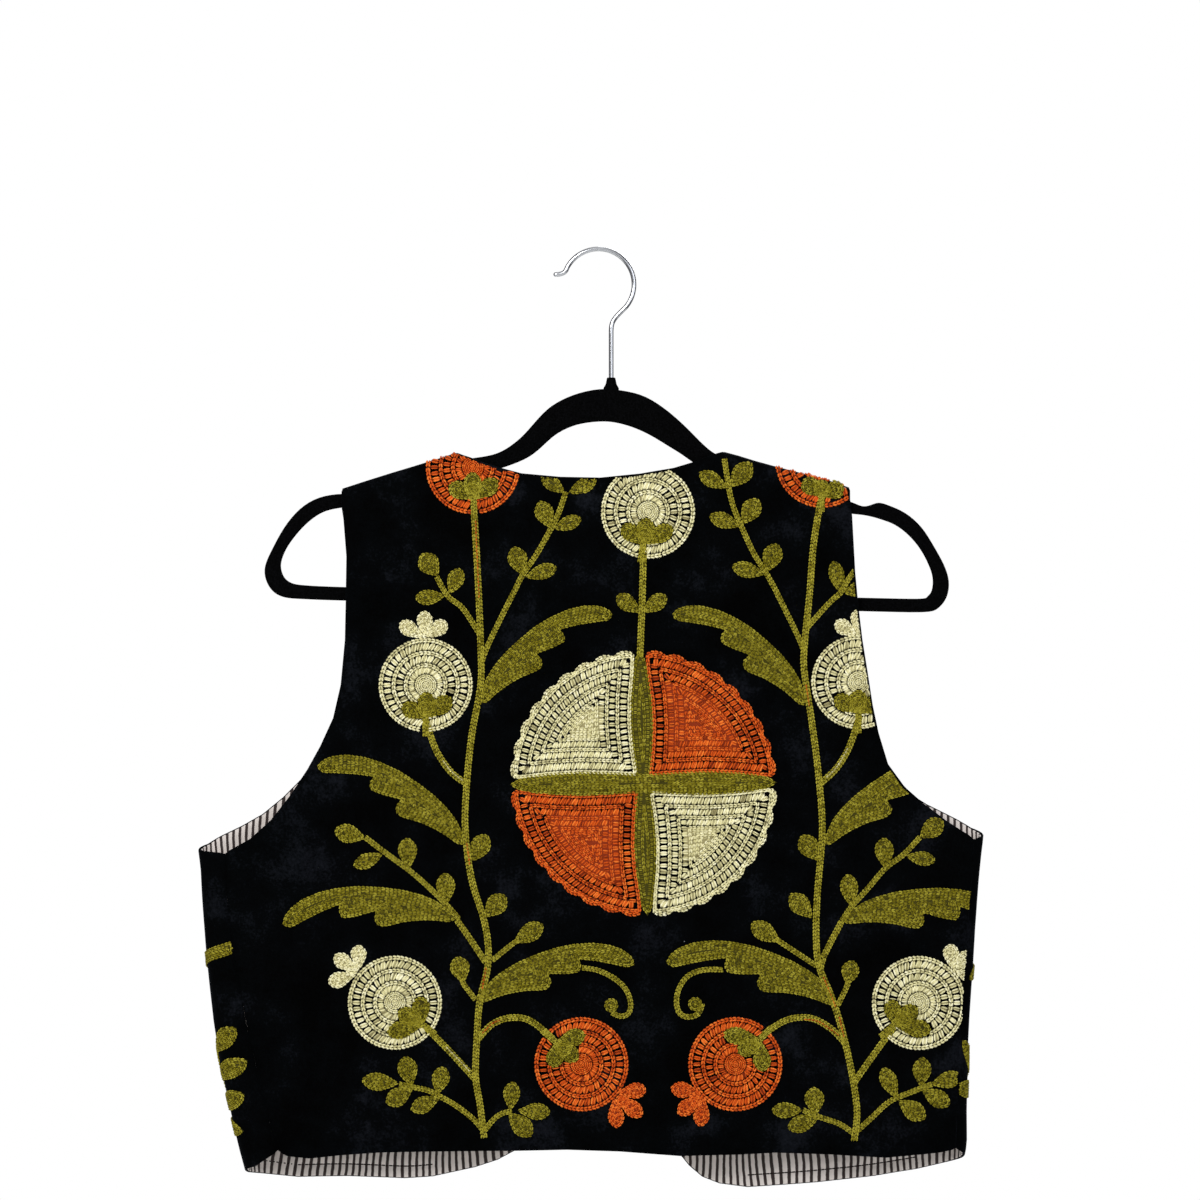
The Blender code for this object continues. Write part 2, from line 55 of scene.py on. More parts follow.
SHOULDER_LEFT = ((342.5, 488), (363.9, 481), (391.2, 472.4), (414.5, 465.4), (441.7, 457), (455.4, 452.4))
SHOULDER_RIGHT = (
    (724.7, 451.4), (738, 454.9), (754.3, 460), (774.7, 465.6), (811.4, 475), (835.9, 482), (849.2, 487),
)
BACK_NECK = (
    (463, 455.6), (472.9, 459.2), (488.4, 465), (504, 469.6), (521.5, 474.2), (560, 477.7), (600, 478.5),
    (640, 474.5), (673.7, 468.8), (693.1, 463), (715.5, 454.3),
)
BACK_ARM_LEFT = (
    (342.5, 506.4), (344.5, 519.5), (347.4, 556.4), (346.8, 601), (346, 640), (341.8, 685), (334.2, 718.3),
    (321.4, 746.3), (308.7, 769.3), (291.1, 796.1), (271.7, 820.6), (251.3, 839), (238.1, 846.4),
)
BACK_ARM_RIGHT = (
    (849.2, 499.4), (851.2, 515.7), (854.3, 572.9), (857.3, 605.5), (861.4, 639.8), (866.6, 672.3),
    (871.7, 705.5), (877.5, 733), (887, 764.2), (903.6, 787.1), (922, 803.3), (945.5, 821), (960, 830.5),
)
SEAM_LEFT = (
    (225.8, 853.3), (226.8, 877.8), (230, 919), (235.7, 957.4), (242.4, 995.7), (250, 1033.9),
    (258.7, 1072.2), (267.3, 1106.6), (274, 1134), (278.7, 1148.7),
)
SEAM_RIGHT = (
    (973.6, 839), (973, 857), (971.6, 877.8), (969.6, 900), (966.8, 938.3), (964, 976.5), (961.3, 1014.8),
    (959.2, 1043.5), (957.5, 1081.8), (956.5, 1120), (955.6, 1146.8),
)
BACK_HEM = (
    (288, 1154), (310, 1156.2), (340, 1153), (380, 1150.4), (430, 1149.4), (515, 1148.8), (567, 1147.6),
    (620, 1149.2), (680, 1153.8), (740, 1152.4), (775, 1150.6), (830, 1152.4), (885, 1155.4),
    (937.4, 1150.6),
)
FOLD_LEFT = (
    (840, 198.3), (851, 198.3), (867.6, 200.3), (900, 202.2), (949.7, 206), (1022.4, 213.7),
    (1062.6, 220.4), (1095.2, 227.1), (1121.9, 232.8), (1146.8, 238.6), (1173.6, 246),
)
FOLD_RIGHT = (
    (836.9, 983.3), (852, 981.5), (878, 979), (900, 977.2), (928.7, 975), (967, 973), (1014.8, 969.5),
    (1049, 968.2), (1072.2, 968), (1110, 967), (1144.9, 967), (1159.3, 964),
)
FRONT_ARM_LEFT = (
    (345, 505), (350, 530), (356, 560), (359, 601), (358, 640), (352, 685), (341, 718), (327, 746),
    (313, 766), (300.3, 780.8), (283, 798.2), (262.6, 815), (242.1, 826.7), (220.7, 837), (207, 845),
)
FRONT_ARM_RIGHT = (
    (846.5, 505), (842, 540), (840, 580), (842, 625), (849, 672), (860, 712), (875, 747), (892, 774),
    (913.9, 797.1), (927.1, 805.3), (941.4, 812.4), (956.7, 820.1), (972, 829),
)
FRONT_NECK_LEFT = (
    (456.5, 470), (461, 505), (470, 560), (484, 620), (503, 680), (522, 726), (536, 752), (541, 772),
)
FRONT_NECK_RIGHT = (
    (723.5, 470), (718, 505), (706, 560), (690, 620), (669, 680), (648, 724), (632, 748), (625, 768),
)
FRONT_EDGE_LEFT = (
    (540, 860), (537.5, 960), (535, 1060), (534, 1100), (531, 1122), (524, 1140), (513, 1152.5),
    (497, 1161), (475, 1168),
)
FRONT_EDGE_RIGHT = (
    (634, 860), (646, 960), (657, 1060), (662, 1105), (667, 1130), (677, 1151), (690, 1167), (703, 1178),
    (720, 1184.5),
)
FRONT_HEM_LEFT = ((432.5, 1177), (404, 1179), (348, 1177), (298, 1178))
FRONT_HEM_RIGHT = ((748, 1188), (818.5, 1183), (875, 1177), (917, 1170))

# Half the distance between the outer faces of back and front, mm: (height, half depth).
HALF_DEPTH = ((-120, 5.6), (-156, 5.6), (-200, 6.7), (-250, 8), (-390, 12), (-480, 14), (-610, 16))

# Soft folds, mm: (x at the top, height of the top, x at the hem, width, depth at the hem, outward positive).
FOLDS_BACK = (
    (-150, -330, -176, 34, 2.2), (-62, -470, -70, 40, -1.8), (30, -440, 22, 52, 1.6),
    (120, -480, 128, 38, -2), (178, -340, 196, 30, 2),
)
FOLDS_FRONT = (
    (-172, -340, -186, 36, 2.4), (-104, -430, -112, 30, -2.6), (-52, -300, -56, 34, 3),
    (44, -310, 62, 34, 2.8), (106, -420, 122, 34, -2.4), (176, -360, 190, 34, 2.2),
)

# Small creases, mm along the girth and in height: (start, end, half width, depth; outward is positive).
CREASE_DEPTH = 1.5  # all their depths are multiplied by this
CREASES_BACK = (
    ((-236, -400), (-196, -432), 5, -0.9), ((-214, -372), (-182, -388), 4, 0.7),
    ((-226, -455), (-204, -520), 6, -0.8), ((-205, -560), (-176, -574), 4.5, 0.8),
    ((-118, -548), (-96, -582), 6, -0.7), ((-18, -520), (2, -578), 7, 0.7),
    ((66, -556), (78, -584), 5, -0.7), ((150, -548), (190, -572), 5, 0.9),
    ((196, -356), (232, -392), 5, -0.9), ((206, -430), (228, -474), 5, 0.8),
    ((-60, -158), (-30, -196), 6, -0.5), ((40, -162), (70, -190), 6, 0.5),
    ((-150, -168), (-128, -222), 5, 0.6), ((128, -172), (146, -230), 5, -0.6),
)
CREASES_FRONT = (
    ((-262, -398), (-214, -420), 5, -0.9), ((-282, -440), (-280, -520), 4, 0.6),
    ((-240, -470), (-222, -540), 6, -0.9), ((-150, -180), (-132, -250), 5, 0.7),
    ((-90, -330), (-62, -372), 6, -0.8), ((-120, -560), (-98, -592), 5, 0.8),
    ((58, -326), (88, -372), 6, 0.8), ((128, -178), (142, -246), 5, -0.7),
    ((204, -392), (246, -408), 5, 0.9), ((224, -470), (238, -540), 6, -0.9),
    ((92, -560), (116, -598), 5, 0.8),
)


def mm(x, y):
    """A measured point as (x, z) in mm."""
    return ((x - CROWN[0]) * UNIT, (CROWN[1] - y) * UNIT)


def rising(rows):
    """A table's two columns as arrays, in rising order of the first."""
    rows = sorted(rows)
    return np.array([r[0] for r in rows]), np.array([r[1] for r in rows])


DEPTH_Z, DEPTH_H = rising(HALF_DEPTH)
LEFT_Z, LEFT_X = rising([(mm(0, y)[1], mm(x, 0)[0]) for y, x in FOLD_LEFT])
RIGHT_Z, RIGHT_X = rising([(mm(0, y)[1], mm(x, 0)[0]) for y, x in FOLD_RIGHT])
SLOPE = 0.3  # of the shoulders
PAST_SHOULDER = 400.0  # how far the shoulder's line is carried on past its ends


def with_ends(rows):
    """A shoulder seam's points, carried on past both ends at the shoulder's slope."""
    points = [mm(*row) for row in rows]
    rise = SLOPE if points[-1][1] > points[0][1] else -SLOPE
    step = np.array([PAST_SHOULDER, rise * PAST_SHOULDER])
    return np.vstack([points[0] - step, points, points[-1] + step])


SHOULDER_L = with_ends(SHOULDER_LEFT)
SHOULDER_R = with_ends(SHOULDER_RIGHT)
NECK_MIDDLE = -5.0  # between the shoulders, mm


def shoulder(x):
    """Height of the shoulder seam's line at x, carried on past its ends."""
    left = np.interp(x, SHOULDER_L[:, 0], SHOULDER_L[:, 1])
    right = np.interp(x, SHOULDER_R[:, 0], SHOULDER_R[:, 1])
    return np.where(x < NECK_MIDDLE, left, right)


def fold_ends(z):
    """Where the flat run ends on either side at a height, and the half depth there."""
    h = np.interp(z, DEPTH_Z, DEPTH_H)
    return np.interp(z, LEFT_Z, LEFT_X) + h, np.interp(z, RIGHT_Z, RIGHT_X) - h, h


def smooth(t):
    """Rises from 0 to 1 with level ends."""
    t = np.clip(t, 0.0, 1.0)
    return t * t * (3.0 - 2.0 * t)


HEM_HEIGHT = -600.0  # where the soft folds are deepest
FOLD_FADE = 26.0  # the folds fade over this width beside the side folds


def fold_push(folds, x, z):
    """How far the soft folds move the cloth outwards at points of the flat run."""
    left, right, _ = fold_ends(z)
    fade = smooth(np.minimum(x - left, right - x) / FOLD_FADE)
    total = np.zeros_like(x)
    for x_top, z_top, x_hem, width, depth in folds:
        along = np.where(z < z_top, smooth((z_top - z) / (z_top - HEM_HEIGHT)), 0.0)
        away = np.abs(x - (x_top + (x_hem - x_top) * along)) / width
        total += depth * along * np.cos(np.minimum(away, 1.0) * math.pi / 2.0) ** 2
    return total * fade


WAVE_DEPTH = 0.16
CREASE_BOW = 0.12  # of a crease's length, how far it bends sideways


def crease_push(creases, u, z):
    """How far the small creases and the cloth's slight waviness move it outwards."""
    across = np.sin(u / 13.0 + 1.7 * np.sin(z / 31.0))
    total = WAVE_DEPTH * across * np.sin(z / 17.0 + 0.9 * np.sin(u / 23.0))
    for (u1, z1), (u2, z2), width, depth in creases:
        du, dz = u2 - u1, z2 - z1
        size = du * du + dz * dz
        t = ((u - u1) * du + (z - z1) * dz) / size
        bow = CREASE_BOW * np.sin(np.clip(t, 0.0, 1.0) * math.pi)
        away = np.hypot(u - (u1 + t * du) + bow * dz, z - (z1 + t * dz) - bow * du)
        ends = smooth((0.62 - np.abs(t - 0.5)) / 0.4)
        total += CREASE_DEPTH * depth * ends * np.exp(-((away / width) ** 2))
    return total


CALM_BAND = (4.0, 14.0)  # under the shoulder seam: where creases start, and over what height they grow


class Panel:
    """One side of the garment: where its cloth lies in space."""

    def __init__(self, side, folds, creases):
        self.side = side
        self.folds = folds
        self.creases = creases

    def place(self, u, z, inward):
        """Points of the cloth in metres, at u along the girth and height z, `inward` mm under its face."""
        u, z, inward = np.broadcast_arrays(*[np.asarray(value, float) for value in (u, z, inward)])
        left, right, h = fold_ends(z)
        drop = shoulder(u) - z
        start, growth = CALM_BAND
        creased = crease_push(self.creases, u, z) * smooth((drop - start) / growth)
        out = -inward + creased
        reach = h + out
        x, y, up = u.copy(), self.side * (reach + fold_push(self.folds, u, z)), z.copy()
        rolled = (drop < h) & (u > left) & (u < right)
        d = np.clip(drop, 0.0, h)
        ny = np.sqrt(np.maximum(0.0, h * h - (h - d) ** 2)) / h
        y = np.where(rolled, self.side * np.maximum(SEAM_GAP / 2.0, ny * reach), y)
        up = np.where(rolled, z + (h - d) / h * out, up)
        for past, start, sign in ((u - right, right, 1.0), (left - u, left, -1.0)):
            turn = past / h
            bent = past > 0.0
            half_way = bent & (turn <= math.pi)
            beyond = bent & (turn > math.pi)
            x = np.where(half_way, start + sign * reach * np.sin(turn), x)
            y = np.where(half_way, self.side * reach * np.cos(turn), y)
            x = np.where(beyond, start - sign * (turn - math.pi) * h, x)
            y = np.where(beyond, -self.side * reach, y)
        return np.stack([x, y, up], axis=-1) * MM


BACK = Panel(-1, FOLDS_BACK, CREASES_BACK)
FRONT = Panel(1, FOLDS_FRONT, CREASES_FRONT)


def unrolled(x, z, far, seam_side):
    """The girth coordinate u of a point seen at x: `far` when it lies past the side fold's extreme."""
    left, right, h = (float(v) for v in fold_ends(z))
    if seam_side > 0:
        lean = math.asin(min(1.0, max(0.0, (x - right) / h)))
        if not far:
            return x if x < right else right + h * lean
        return right + h * (math.pi - lean) if x > right else right + h * math.pi + (right - x)
    lean = math.asin(min(1.0, max(0.0, (left - x) / h)))
    if not far:
        return x if x > left else left - h * lean
    return left - h * (math.pi - lean) if x < left else left - h * math.pi - (x - left)


def line(rows, far=False, seam_side=0, shift=0.0):
    """A measured edge as (u, z) points."""
    points = []
    for row in rows:
        x, z = mm(*row)
        points.append((unrolled(x, z, far, seam_side) + shift if seam_side else x + shift, z))
    return points


def turned(rows):
    """The same edge from its other end."""
    return tuple(reversed(rows))


def on_side(x, y, far, seam_side):
    """A measured point near a side fold as (u, z)."""
    x, z = mm(x, y)
    return (unrolled(x, z, far, seam_side), z)


HALF_GAP = SEAM_GAP / 2.0
BACK_OUTLINE = (
    line(SHOULDER_LEFT) + line(BACK_NECK) + line(SHOULDER_RIGHT) + line(BACK_ARM_RIGHT)
    + line(SEAM_RIGHT, False, 1, -HALF_GAP) + line(turned(BACK_HEM))
    + line(turned(SEAM_LEFT), False, -1, HALF_GAP) + line(turned(BACK_ARM_LEFT))
)
FRONT_LEFT_OUTLINE = (
    line(turned(SHOULDER_LEFT)) + line(FRONT_ARM_LEFT, False, -1) + [on_side(198.3, 850, True, -1)]
    + line(SEAM_LEFT, True, -1, HALF_GAP) + [on_side(256, 1164, True, -1), on_side(247, 1172, False, -1)]
    + line(turned(FRONT_HEM_LEFT), False, -1)
    + line(turned(FRONT_EDGE_LEFT)) + line(turned(FRONT_NECK_LEFT))
)
FRONT_RIGHT_OUTLINE = (
    line(SHOULDER_RIGHT) + line(FRONT_ARM_RIGHT, False, 1) + [on_side(983, 836.5, True, 1)]
    + line(SEAM_RIGHT, True, 1, -HALF_GAP) + [on_side(963, 1157.5, False, 1)]
    + line(turned(FRONT_HEM_RIGHT), False, 1) + line(turned(FRONT_EDGE_RIGHT))
    + line(turned(FRONT_NECK_RIGHT))
)


def resampled(points, step, closed=False):
    """Points evenly spaced, about `step` apart, along a polyline."""
    run = np.asarray(points, float)
    if closed:
        run = np.vstack([run, run[:1]])
    lengths = np.hypot(*np.diff(run, axis=0).T)
    along = np.concatenate([[0.0], np.cumsum(lengths)])
    count = max(1, int(round(along[-1] / step)))
    at = np.linspace(0.0, along[-1], count + 1)
    if closed:
        at = at[:-1]
    return np.stack([np.interp(at, along, run[:, 0]), np.interp(at, along, run[:, 1])], axis=1)


def rounded(points, closed=False, steps=6):
    """A smooth curve through the points (Catmull-Rom)."""
    p = np.asarray(points, float)
    count = len(p)
    spans = count if closed else count - 1
    out = []
    for i in range(spans):
        if closed:
            a, b, c, d = p[i - 1], p[i], p[(i + 1) % count], p[(i + 2) % count]
        else:
            a, b, c, d = p[max(i - 1, 0)], p[i], p[i + 1], p[min(i + 2, count - 1)]
        for k in range(steps):
            t = k / steps
            out.append(0.5 * (2 * b + (c - a) * t + (2 * a - 5 * b + 4 * c - d) * t * t
                              + (3 * b - a - 3 * c + d) * t ** 3))
    if not closed:
        out.append(p[-1])
    return np.array(out)


def dense(outline, step):
    """A panel's outline with long sides divided, corners kept."""
    out = []
    for a, b in zip(outline, outline[1:] + outline[:1]):
        a, b = np.array(a), np.array(b)
        parts = max(1, int(math.ceil(np.hypot(*(b - a)) / step)))
        out.extend(a + (b - a) * i / parts for i in range(parts))
    return np.array(out)


def inside(polygon, points):
    """Which of many points lie in a polygon."""
    px, pz = points[:, 0][:, None], points[:, 1][:, None]
    a, b = polygon, np.roll(polygon, -1, axis=0)
    crosses = (a[:, 1] > pz) != (b[:, 1] > pz)
    rise = np.where(a[:, 1] == b[:, 1], 1.0, b[:, 1] - a[:, 1])
    meet = (b[:, 0] - a[:, 0]) * (pz - a[:, 1]) / rise + a[:, 0]
    return (crosses & (px < meet)).sum(axis=1) % 2 == 1


def distance(segments, points):
    """Distance from each point to the nearest segment, worked out a block at a time."""
    a, b = segments[:, :2], segments[:, 2:]
    d = b - a
    size = np.maximum((d ** 2).sum(axis=1), 1e-12)
    best = np.empty(len(points))
    block = 2000
    for start in range(0, len(points), block):
        p = points[start:start + block]
        t = ((p[:, None, :] - a) * d).sum(axis=2) / size
        near = a + np.clip(t, 0.0, 1.0)[..., None] * d
        best[start:start + block] = np.sqrt(((p[:, None, :] - near) ** 2).sum(axis=2).min(axis=1))
    return best


def sides_of(polygon):
    """A polygon's sides, each as its two ends."""
    return np.hstack([polygon, np.roll(polygon, -1, axis=0)])


def signed_area(polygon):
    """Positive for a polygon that runs anticlockwise."""
    a, b = polygon, np.roll(polygon, -1, axis=0)
    return 0.5 * (a[:, 0] * b[:, 1] - b[:, 0] * a[:, 1]).sum()


def outward(polygon):
    """Unit normals of a polygon's corners, pointing out of it."""
    along = np.roll(polygon, -1, axis=0) - np.roll(polygon, 1, axis=0)
    normal = np.stack([along[:, 1], -along[:, 0]], axis=1)
    normal /= np.maximum(np.hypot(*normal.T), 1e-9)[:, None]
    return normal * np.sign(signed_area(polygon))


# Cloth sheets

FOLD_STEPS = 16
ROLL_DROPS = (0.12, 0.45, 1.0, 1.8, 2.8, 4.0, 5.6, 8.0)
ROLL_SPANS = ((-167.5, -60), (55, 164))  # along the two shoulders
ARMHOLE_FOOT = -372.0  # the side folds start here, mm
EDGE_STEP = 4.0
CLOTH_SPACING = 5.5
SEAM_WIDTH = 1.2
SEAM_SUNK = 0.4
GROOVE_WIDTH = 0.9  # along the hem's stitches
GROOVE_DEPTH = 0.5
HEM_PUFF = 0.7  # how much the folded hem stands out above its stitches
HEM_BESIDE = 1.3  # the groove ends this far from the stitches
HEM_FOLDED = (26.0, 20.0)  # the height of the folded strip above the stitches, and over what it thins


def guide_lines(outline, hem_rows):
    """Rows over the shoulder, columns round the side folds, and rows along the hem's stitches."""
    lines = []
    for drop in ROLL_DROPS:
        for start, end in ROLL_SPANS:
            x = np.linspace(start, end, 26)
            lines.append(np.stack([x, shoulder(x) - drop], axis=1))
    z = np.linspace(ARMHOLE_FOOT, outline[:, 1].min() - 6.0, 40)
    left, right, h = fold_ends(z)
    for k in range(FOLD_STEPS + 1):
        turn = math.pi * k / FOLD_STEPS
        lines.append(np.stack([right + h * turn, z], axis=1))
        lines.append(np.stack([left - h * turn, z], axis=1))
    return lines + list(hem_rows)


ROW_SHARE = 0.87  # of the spacing, the distance between rows of points


def triangulated(outline, guides, spacing):
    """Points and anticlockwise triangles that fill an outline."""
    points, edges = [], []
    for run, closed in [(outline, True)] + [(guide, False) for guide in guides]:
        first = len(points)
        points.extend(map(tuple, run))
        edges.extend((first + i, first + i + 1) for i in range(len(run) - 1))
        if closed:
            edges.append((first + len(run) - 1, first))
    segments = np.array([(*points[a], *points[b]) for a, b in edges])
    low, high = outline.min(axis=0), outline.max(axis=0)
    grid = []
    rows = int((high[1] - low[1]) / (spacing * ROW_SHARE)) + 2
    for row in range(rows):
        u = np.arange(low[0] + spacing * (0.5 if row % 2 else 1.0), high[0], spacing)
        grid.append(np.stack([u, np.full_like(u, low[1] + spacing * ROW_SHARE * (row + 0.5))], axis=1))
    grid = np.concatenate(grid)
    grid = grid[inside(outline, grid)]
    if len(grid):
        grid = grid[distance(segments, grid) > spacing * 0.4]
    points.extend(map(tuple, grid))
    made, _, faces, *_ = delaunay_2d_cdt([Vector(p) for p in points], edges, [], 0, 1e-3, False)
    made = np.array([tuple(p) for p in made])
    faces = np.array(faces)
    a, b, c = made[faces[:, 0]], made[faces[:, 1]], made[faces[:, 2]]
    area = (b[:, 0] - a[:, 0]) * (c[:, 1] - a[:, 1]) - (b[:, 1] - a[:, 1]) * (c[:, 0] - a[:, 0])
    keep = (np.abs(area) > 1e-4) & inside(outline, (a + b + c) / 3.0)
    faces[area < 0.0] = faces[area < 0.0][:, ::-1]
    faces = faces[keep]
    used, faces = np.unique(faces, return_inverse=True)
    return made[used], faces.reshape(-1, 3)


def rim_edges(faces):
    """The directed edges with a face on one side only."""
    directed = {(a, b) for face in faces.tolist() for a, b in zip(face, face[1:] + face[:1])}
    return [(a, b) for a, b in directed if (b, a) not in directed]


def make_mesh(name, points, faces, material, uv=None, tone=None):
    """A mesh object in the row frame from arrays, smooth shaded."""
    mesh = bpy.data.meshes.new(name)
    mesh.from_pydata(points.tolist(), [], faces)
    if uv is not None:
        layer = mesh.uv_layers.new(name="flat")
        index = np.empty(len(mesh.loops), dtype=np.int32)
        mesh.loops.foreach_get("vertex_index", index)
        layer.data.foreach_set("uv", uv[index].astype(np.float32).ravel())
    if tone is not None:
        layer = mesh.attributes.new("tone", "FLOAT", "POINT")
        layer.data.foreach_set("value", tone.astype(np.float32))
    mesh.shade_smooth()
    mesh.materials.append(material)
    made = bpy.data.objects.new(name, mesh)
    bpy.context.scene.collection.objects.link(made)
    return made


def outward_faces(made):
    """Turns all faces of a closed piece outwards."""
    bm = bmesh.new()
    bm.from_mesh(made.data)
    bmesh.ops.recalc_face_normals(bm, faces=bm.faces)
    bm.to_mesh(made.data)
    bm.free()


def hem_rows_of(rows, seam_side):
    """Three lines along a hem: just below the stitches, at them and just above them."""
    run = rounded(line(rows, False, seam_side), steps=8)
    run = run[np.argsort(run[:, 0])]
    lifts = (HEM_STITCH - HEM_BESIDE, HEM_STITCH, HEM_STITCH + HEM_BESIDE)
    return [run + np.array([0.0, lift]) for lift in lifts]


def cloth(name, panel, outline, outer, inner, material, bulge, inset, seams, hem_rows):
    """A thin shell of cloth with a rounded edge; its seams stay where the next panel begins."""
    edge = dense(outline, EDGE_STEP)
    seam_sides = np.concatenate([np.hstack([np.array(s[:-1]), np.array(s[1:])]) for s in seams])
    if inset:
        free = distance(seam_sides, edge) > 1.0
        edge = edge - outward(edge) * (inset * free)[:, None]
    flat, faces = triangulated(edge, guide_lines(edge, hem_rows), CLOTH_SPACING)
    if panel.side > 0:
        faces = faces[:, ::-1]
    count = len(flat)
    at_seam = np.exp(-(distance(seam_sides, flat) / SEAM_WIDTH) ** 2)
    sunk = SEAM_SUNK * at_seam
    inner = np.full(count, inner)
    stitch = hem_rows[1]
    span = (flat[:, 0] > stitch[:, 0].min()) & (flat[:, 0] < stitch[:, 0].max())
    away = flat[:, 1] - np.interp(flat[:, 0], stitch[:, 0], stitch[:, 1])
    groove = np.where(span, GROOVE_DEPTH * np.exp(-(away / GROOVE_WIDTH) ** 2), 0.0)
    if inset:
        top, thinning = HEM_FOLDED
        puff = HEM_PUFF * smooth(away / HEM_BESIDE) * smooth((top - away) / thinning)
        inner = inner - groove + np.where(span, puff, 0.0)
    else:
        sunk = sunk + groove
    points = [panel.place(flat[:, 0], flat[:, 1], outer + sunk), panel.place(flat[:, 0], flat[:, 1], inner)]
    rim = rim_edges(faces)
    after = dict(rim)
    before = {b: a for a, b in rim}
    ids = np.array(sorted(after))
    along = flat[[after[i] for i in ids]] - flat[[before[i] for i in ids]]
    normal = np.stack([along[:, 1], -along[:, 0]], axis=1) * -panel.side
    normal /= np.maximum(np.hypot(*normal.T), 1e-9)[:, None]
    swell = bulge * (at_seam[ids] < 0.2)
    for part in (0.25, 0.5, 0.75):
        moved = flat[ids] + normal * (swell * math.sin(math.pi * part))[:, None]
        through = 0.5 - 0.5 * math.cos(math.pi * part)
        depth = outer + (inner[ids] - outer) * through + sunk[ids] * (1.0 - part)
        points.append(panel.place(moved[:, 0], moved[:, 1], depth))
    rank = {int(i): n for n, i in enumerate(ids)}
    rings = [
        lambda i: i, *[lambda i, k=k: 2 * count + k * len(ids) + rank[i] for k in range(3)],
        lambda i: count + i,
    ]
    quads = [
        (one(b), one(a), two(a), two(b))
        for a, b in rim for one, two in zip(rings, rings[1:])
    ]
    everything = faces.tolist() + (faces[:, ::-1] + count).tolist() + quads
    uv = np.concatenate([flat, flat, flat[ids], flat[ids], flat[ids]]) * MM
    made = make_mesh(name, np.concatenate(points), everything, material, uv)
    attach(made, "root")
    return made


# Materials


def linear(code):
    """An sRGB hex colour as a linear one."""
    parts = [int(code[i:i + 2], 16) / 255.0 for i in (1, 3, 5)]
    return (*[c / 12.92 if c <= 0.04045 else ((c + 0.055) / 1.055) ** 2.4 for c in parts], 1.0)


def node(material, kind, settings=None, **inputs):
    """Adds a node with its settings; an input is a value or another node's output."""
    tree = material.node_tree
    made = tree.nodes.new(kind)
    for key, value in (settings or {}).items():
        setattr(made, key, value)
    for key, value in inputs.items():
        numbered = key[0] == "i" and key[1:].isdigit()
        slot = made.inputs[int(key[1:]) if numbered else key.replace("_", " ")]
        if isinstance(value, bpy.types.NodeSocket):
            tree.links.new(value, slot)
        else:
            slot.default_value = value
    return made


def new_material(name, **sockets):
    """A Principled material with constant sockets set on the shader itself."""
    material = bpy.data.materials.new(name)
    material.use_nodes = True
    shader = material.node_tree.nodes["Principled BSDF"]
    for key, value in sockets.items():
        shader.inputs[key.replace("_", " ")].default_value = value
    return material, shader


def set_stops(ramp_node, stops):
    """Gives a colour ramp its (position, hex colour) stops."""
    elements = ramp_node.color_ramp.elements
    while len(elements) < len(stops):
        elements.new(0.5)
    for element, (position, code) in zip(elements, stops):
        element.position = position
        element.color = linear(code)


def ramp(material, factor, stops):
    """The colour that a ramp gives to a factor."""
    made = node(material, "ShaderNodeValToRGB", Fac=factor)
    set_stops(made, stops)
    return made.outputs["Color"]


def maths(material, operation, *values):
    """The result of a sum on values or other nodes' outputs."""
    inputs = {f"i{k}": value for k, value in enumerate(values)}
    return node(material, "ShaderNodeMath", {"operation": operation}, **inputs).outputs[0]


def link_bump(material, shader, strength, distance, height):
    """Fine relief on a finish, from a texture's output."""
    bump = node(material, "ShaderNodeBump", Strength=strength, Distance=distance, Height=height)
    material.node_tree.links.new(bump.outputs["Normal"], shader.inputs["Normal"])


LINT_SHARE = 0.42  # of the cells, those that may hold a speck


def dusted(material, place, colour, scale, size):
    """A colour with a few grey specks of lint."""
    cells = node(material, "ShaderNodeTexVoronoi", Vector=place, Scale=scale)
    speck = maths(material, "LESS_THAN", cells.outputs["Distance"], size)
    rare = maths(material, "LESS_THAN", cells.outputs["Color"], LINT_SHARE)
    lint = maths(material, "MULTIPLY", speck, rare)
    mixed = node(material, "ShaderNodeMix", {"data_type": "RGBA"}, i0=lint, i6=colour, i7=linear("#77777b"))
    return mixed.outputs[2]


def cotton_velvet():
    """Black cotton velvet: a cut pile that drinks the light, with a cool bloom where it turns away."""
    material, shader = new_material(
        "black_cotton_velvet", Roughness=0.95, Sheen_Weight=0.06, Sheen_Roughness=0.3,
        Sheen_Tint=linear("#8a94aa"), Specular_IOR_Level=0.02,
    )
    place = node(material, "ShaderNodeTexCoord").outputs["Object"]
    nap = node(material, "ShaderNodeTexNoise", Vector=place, Scale=26.0, Detail=5.0, Roughness=0.62)
    pile = node(material, "ShaderNodeTexNoise", Vector=place, Scale=620.0, Detail=2.0, Roughness=0.6)
    both = maths(material, "MULTIPLY_ADD", pile.outputs["Fac"], 0.35, nap.outputs["Fac"])
    colour = ramp(material, both, ((0.5, "#010101"), (0.72, "#030405"), (0.95, "#14161b")))
    tree = material.node_tree
    tree.links.new(dusted(material, place, colour, 40.0, 0.018), shader.inputs["Base Color"])
    link_bump(material, shader, 0.35, 0.0006, pile.outputs["Fac"])
    return material


STRIPE = 0.00468  # one repeat of the lining's pinstripe, metres
STRIPE_DARK = 0.42  # the dark share of a repeat


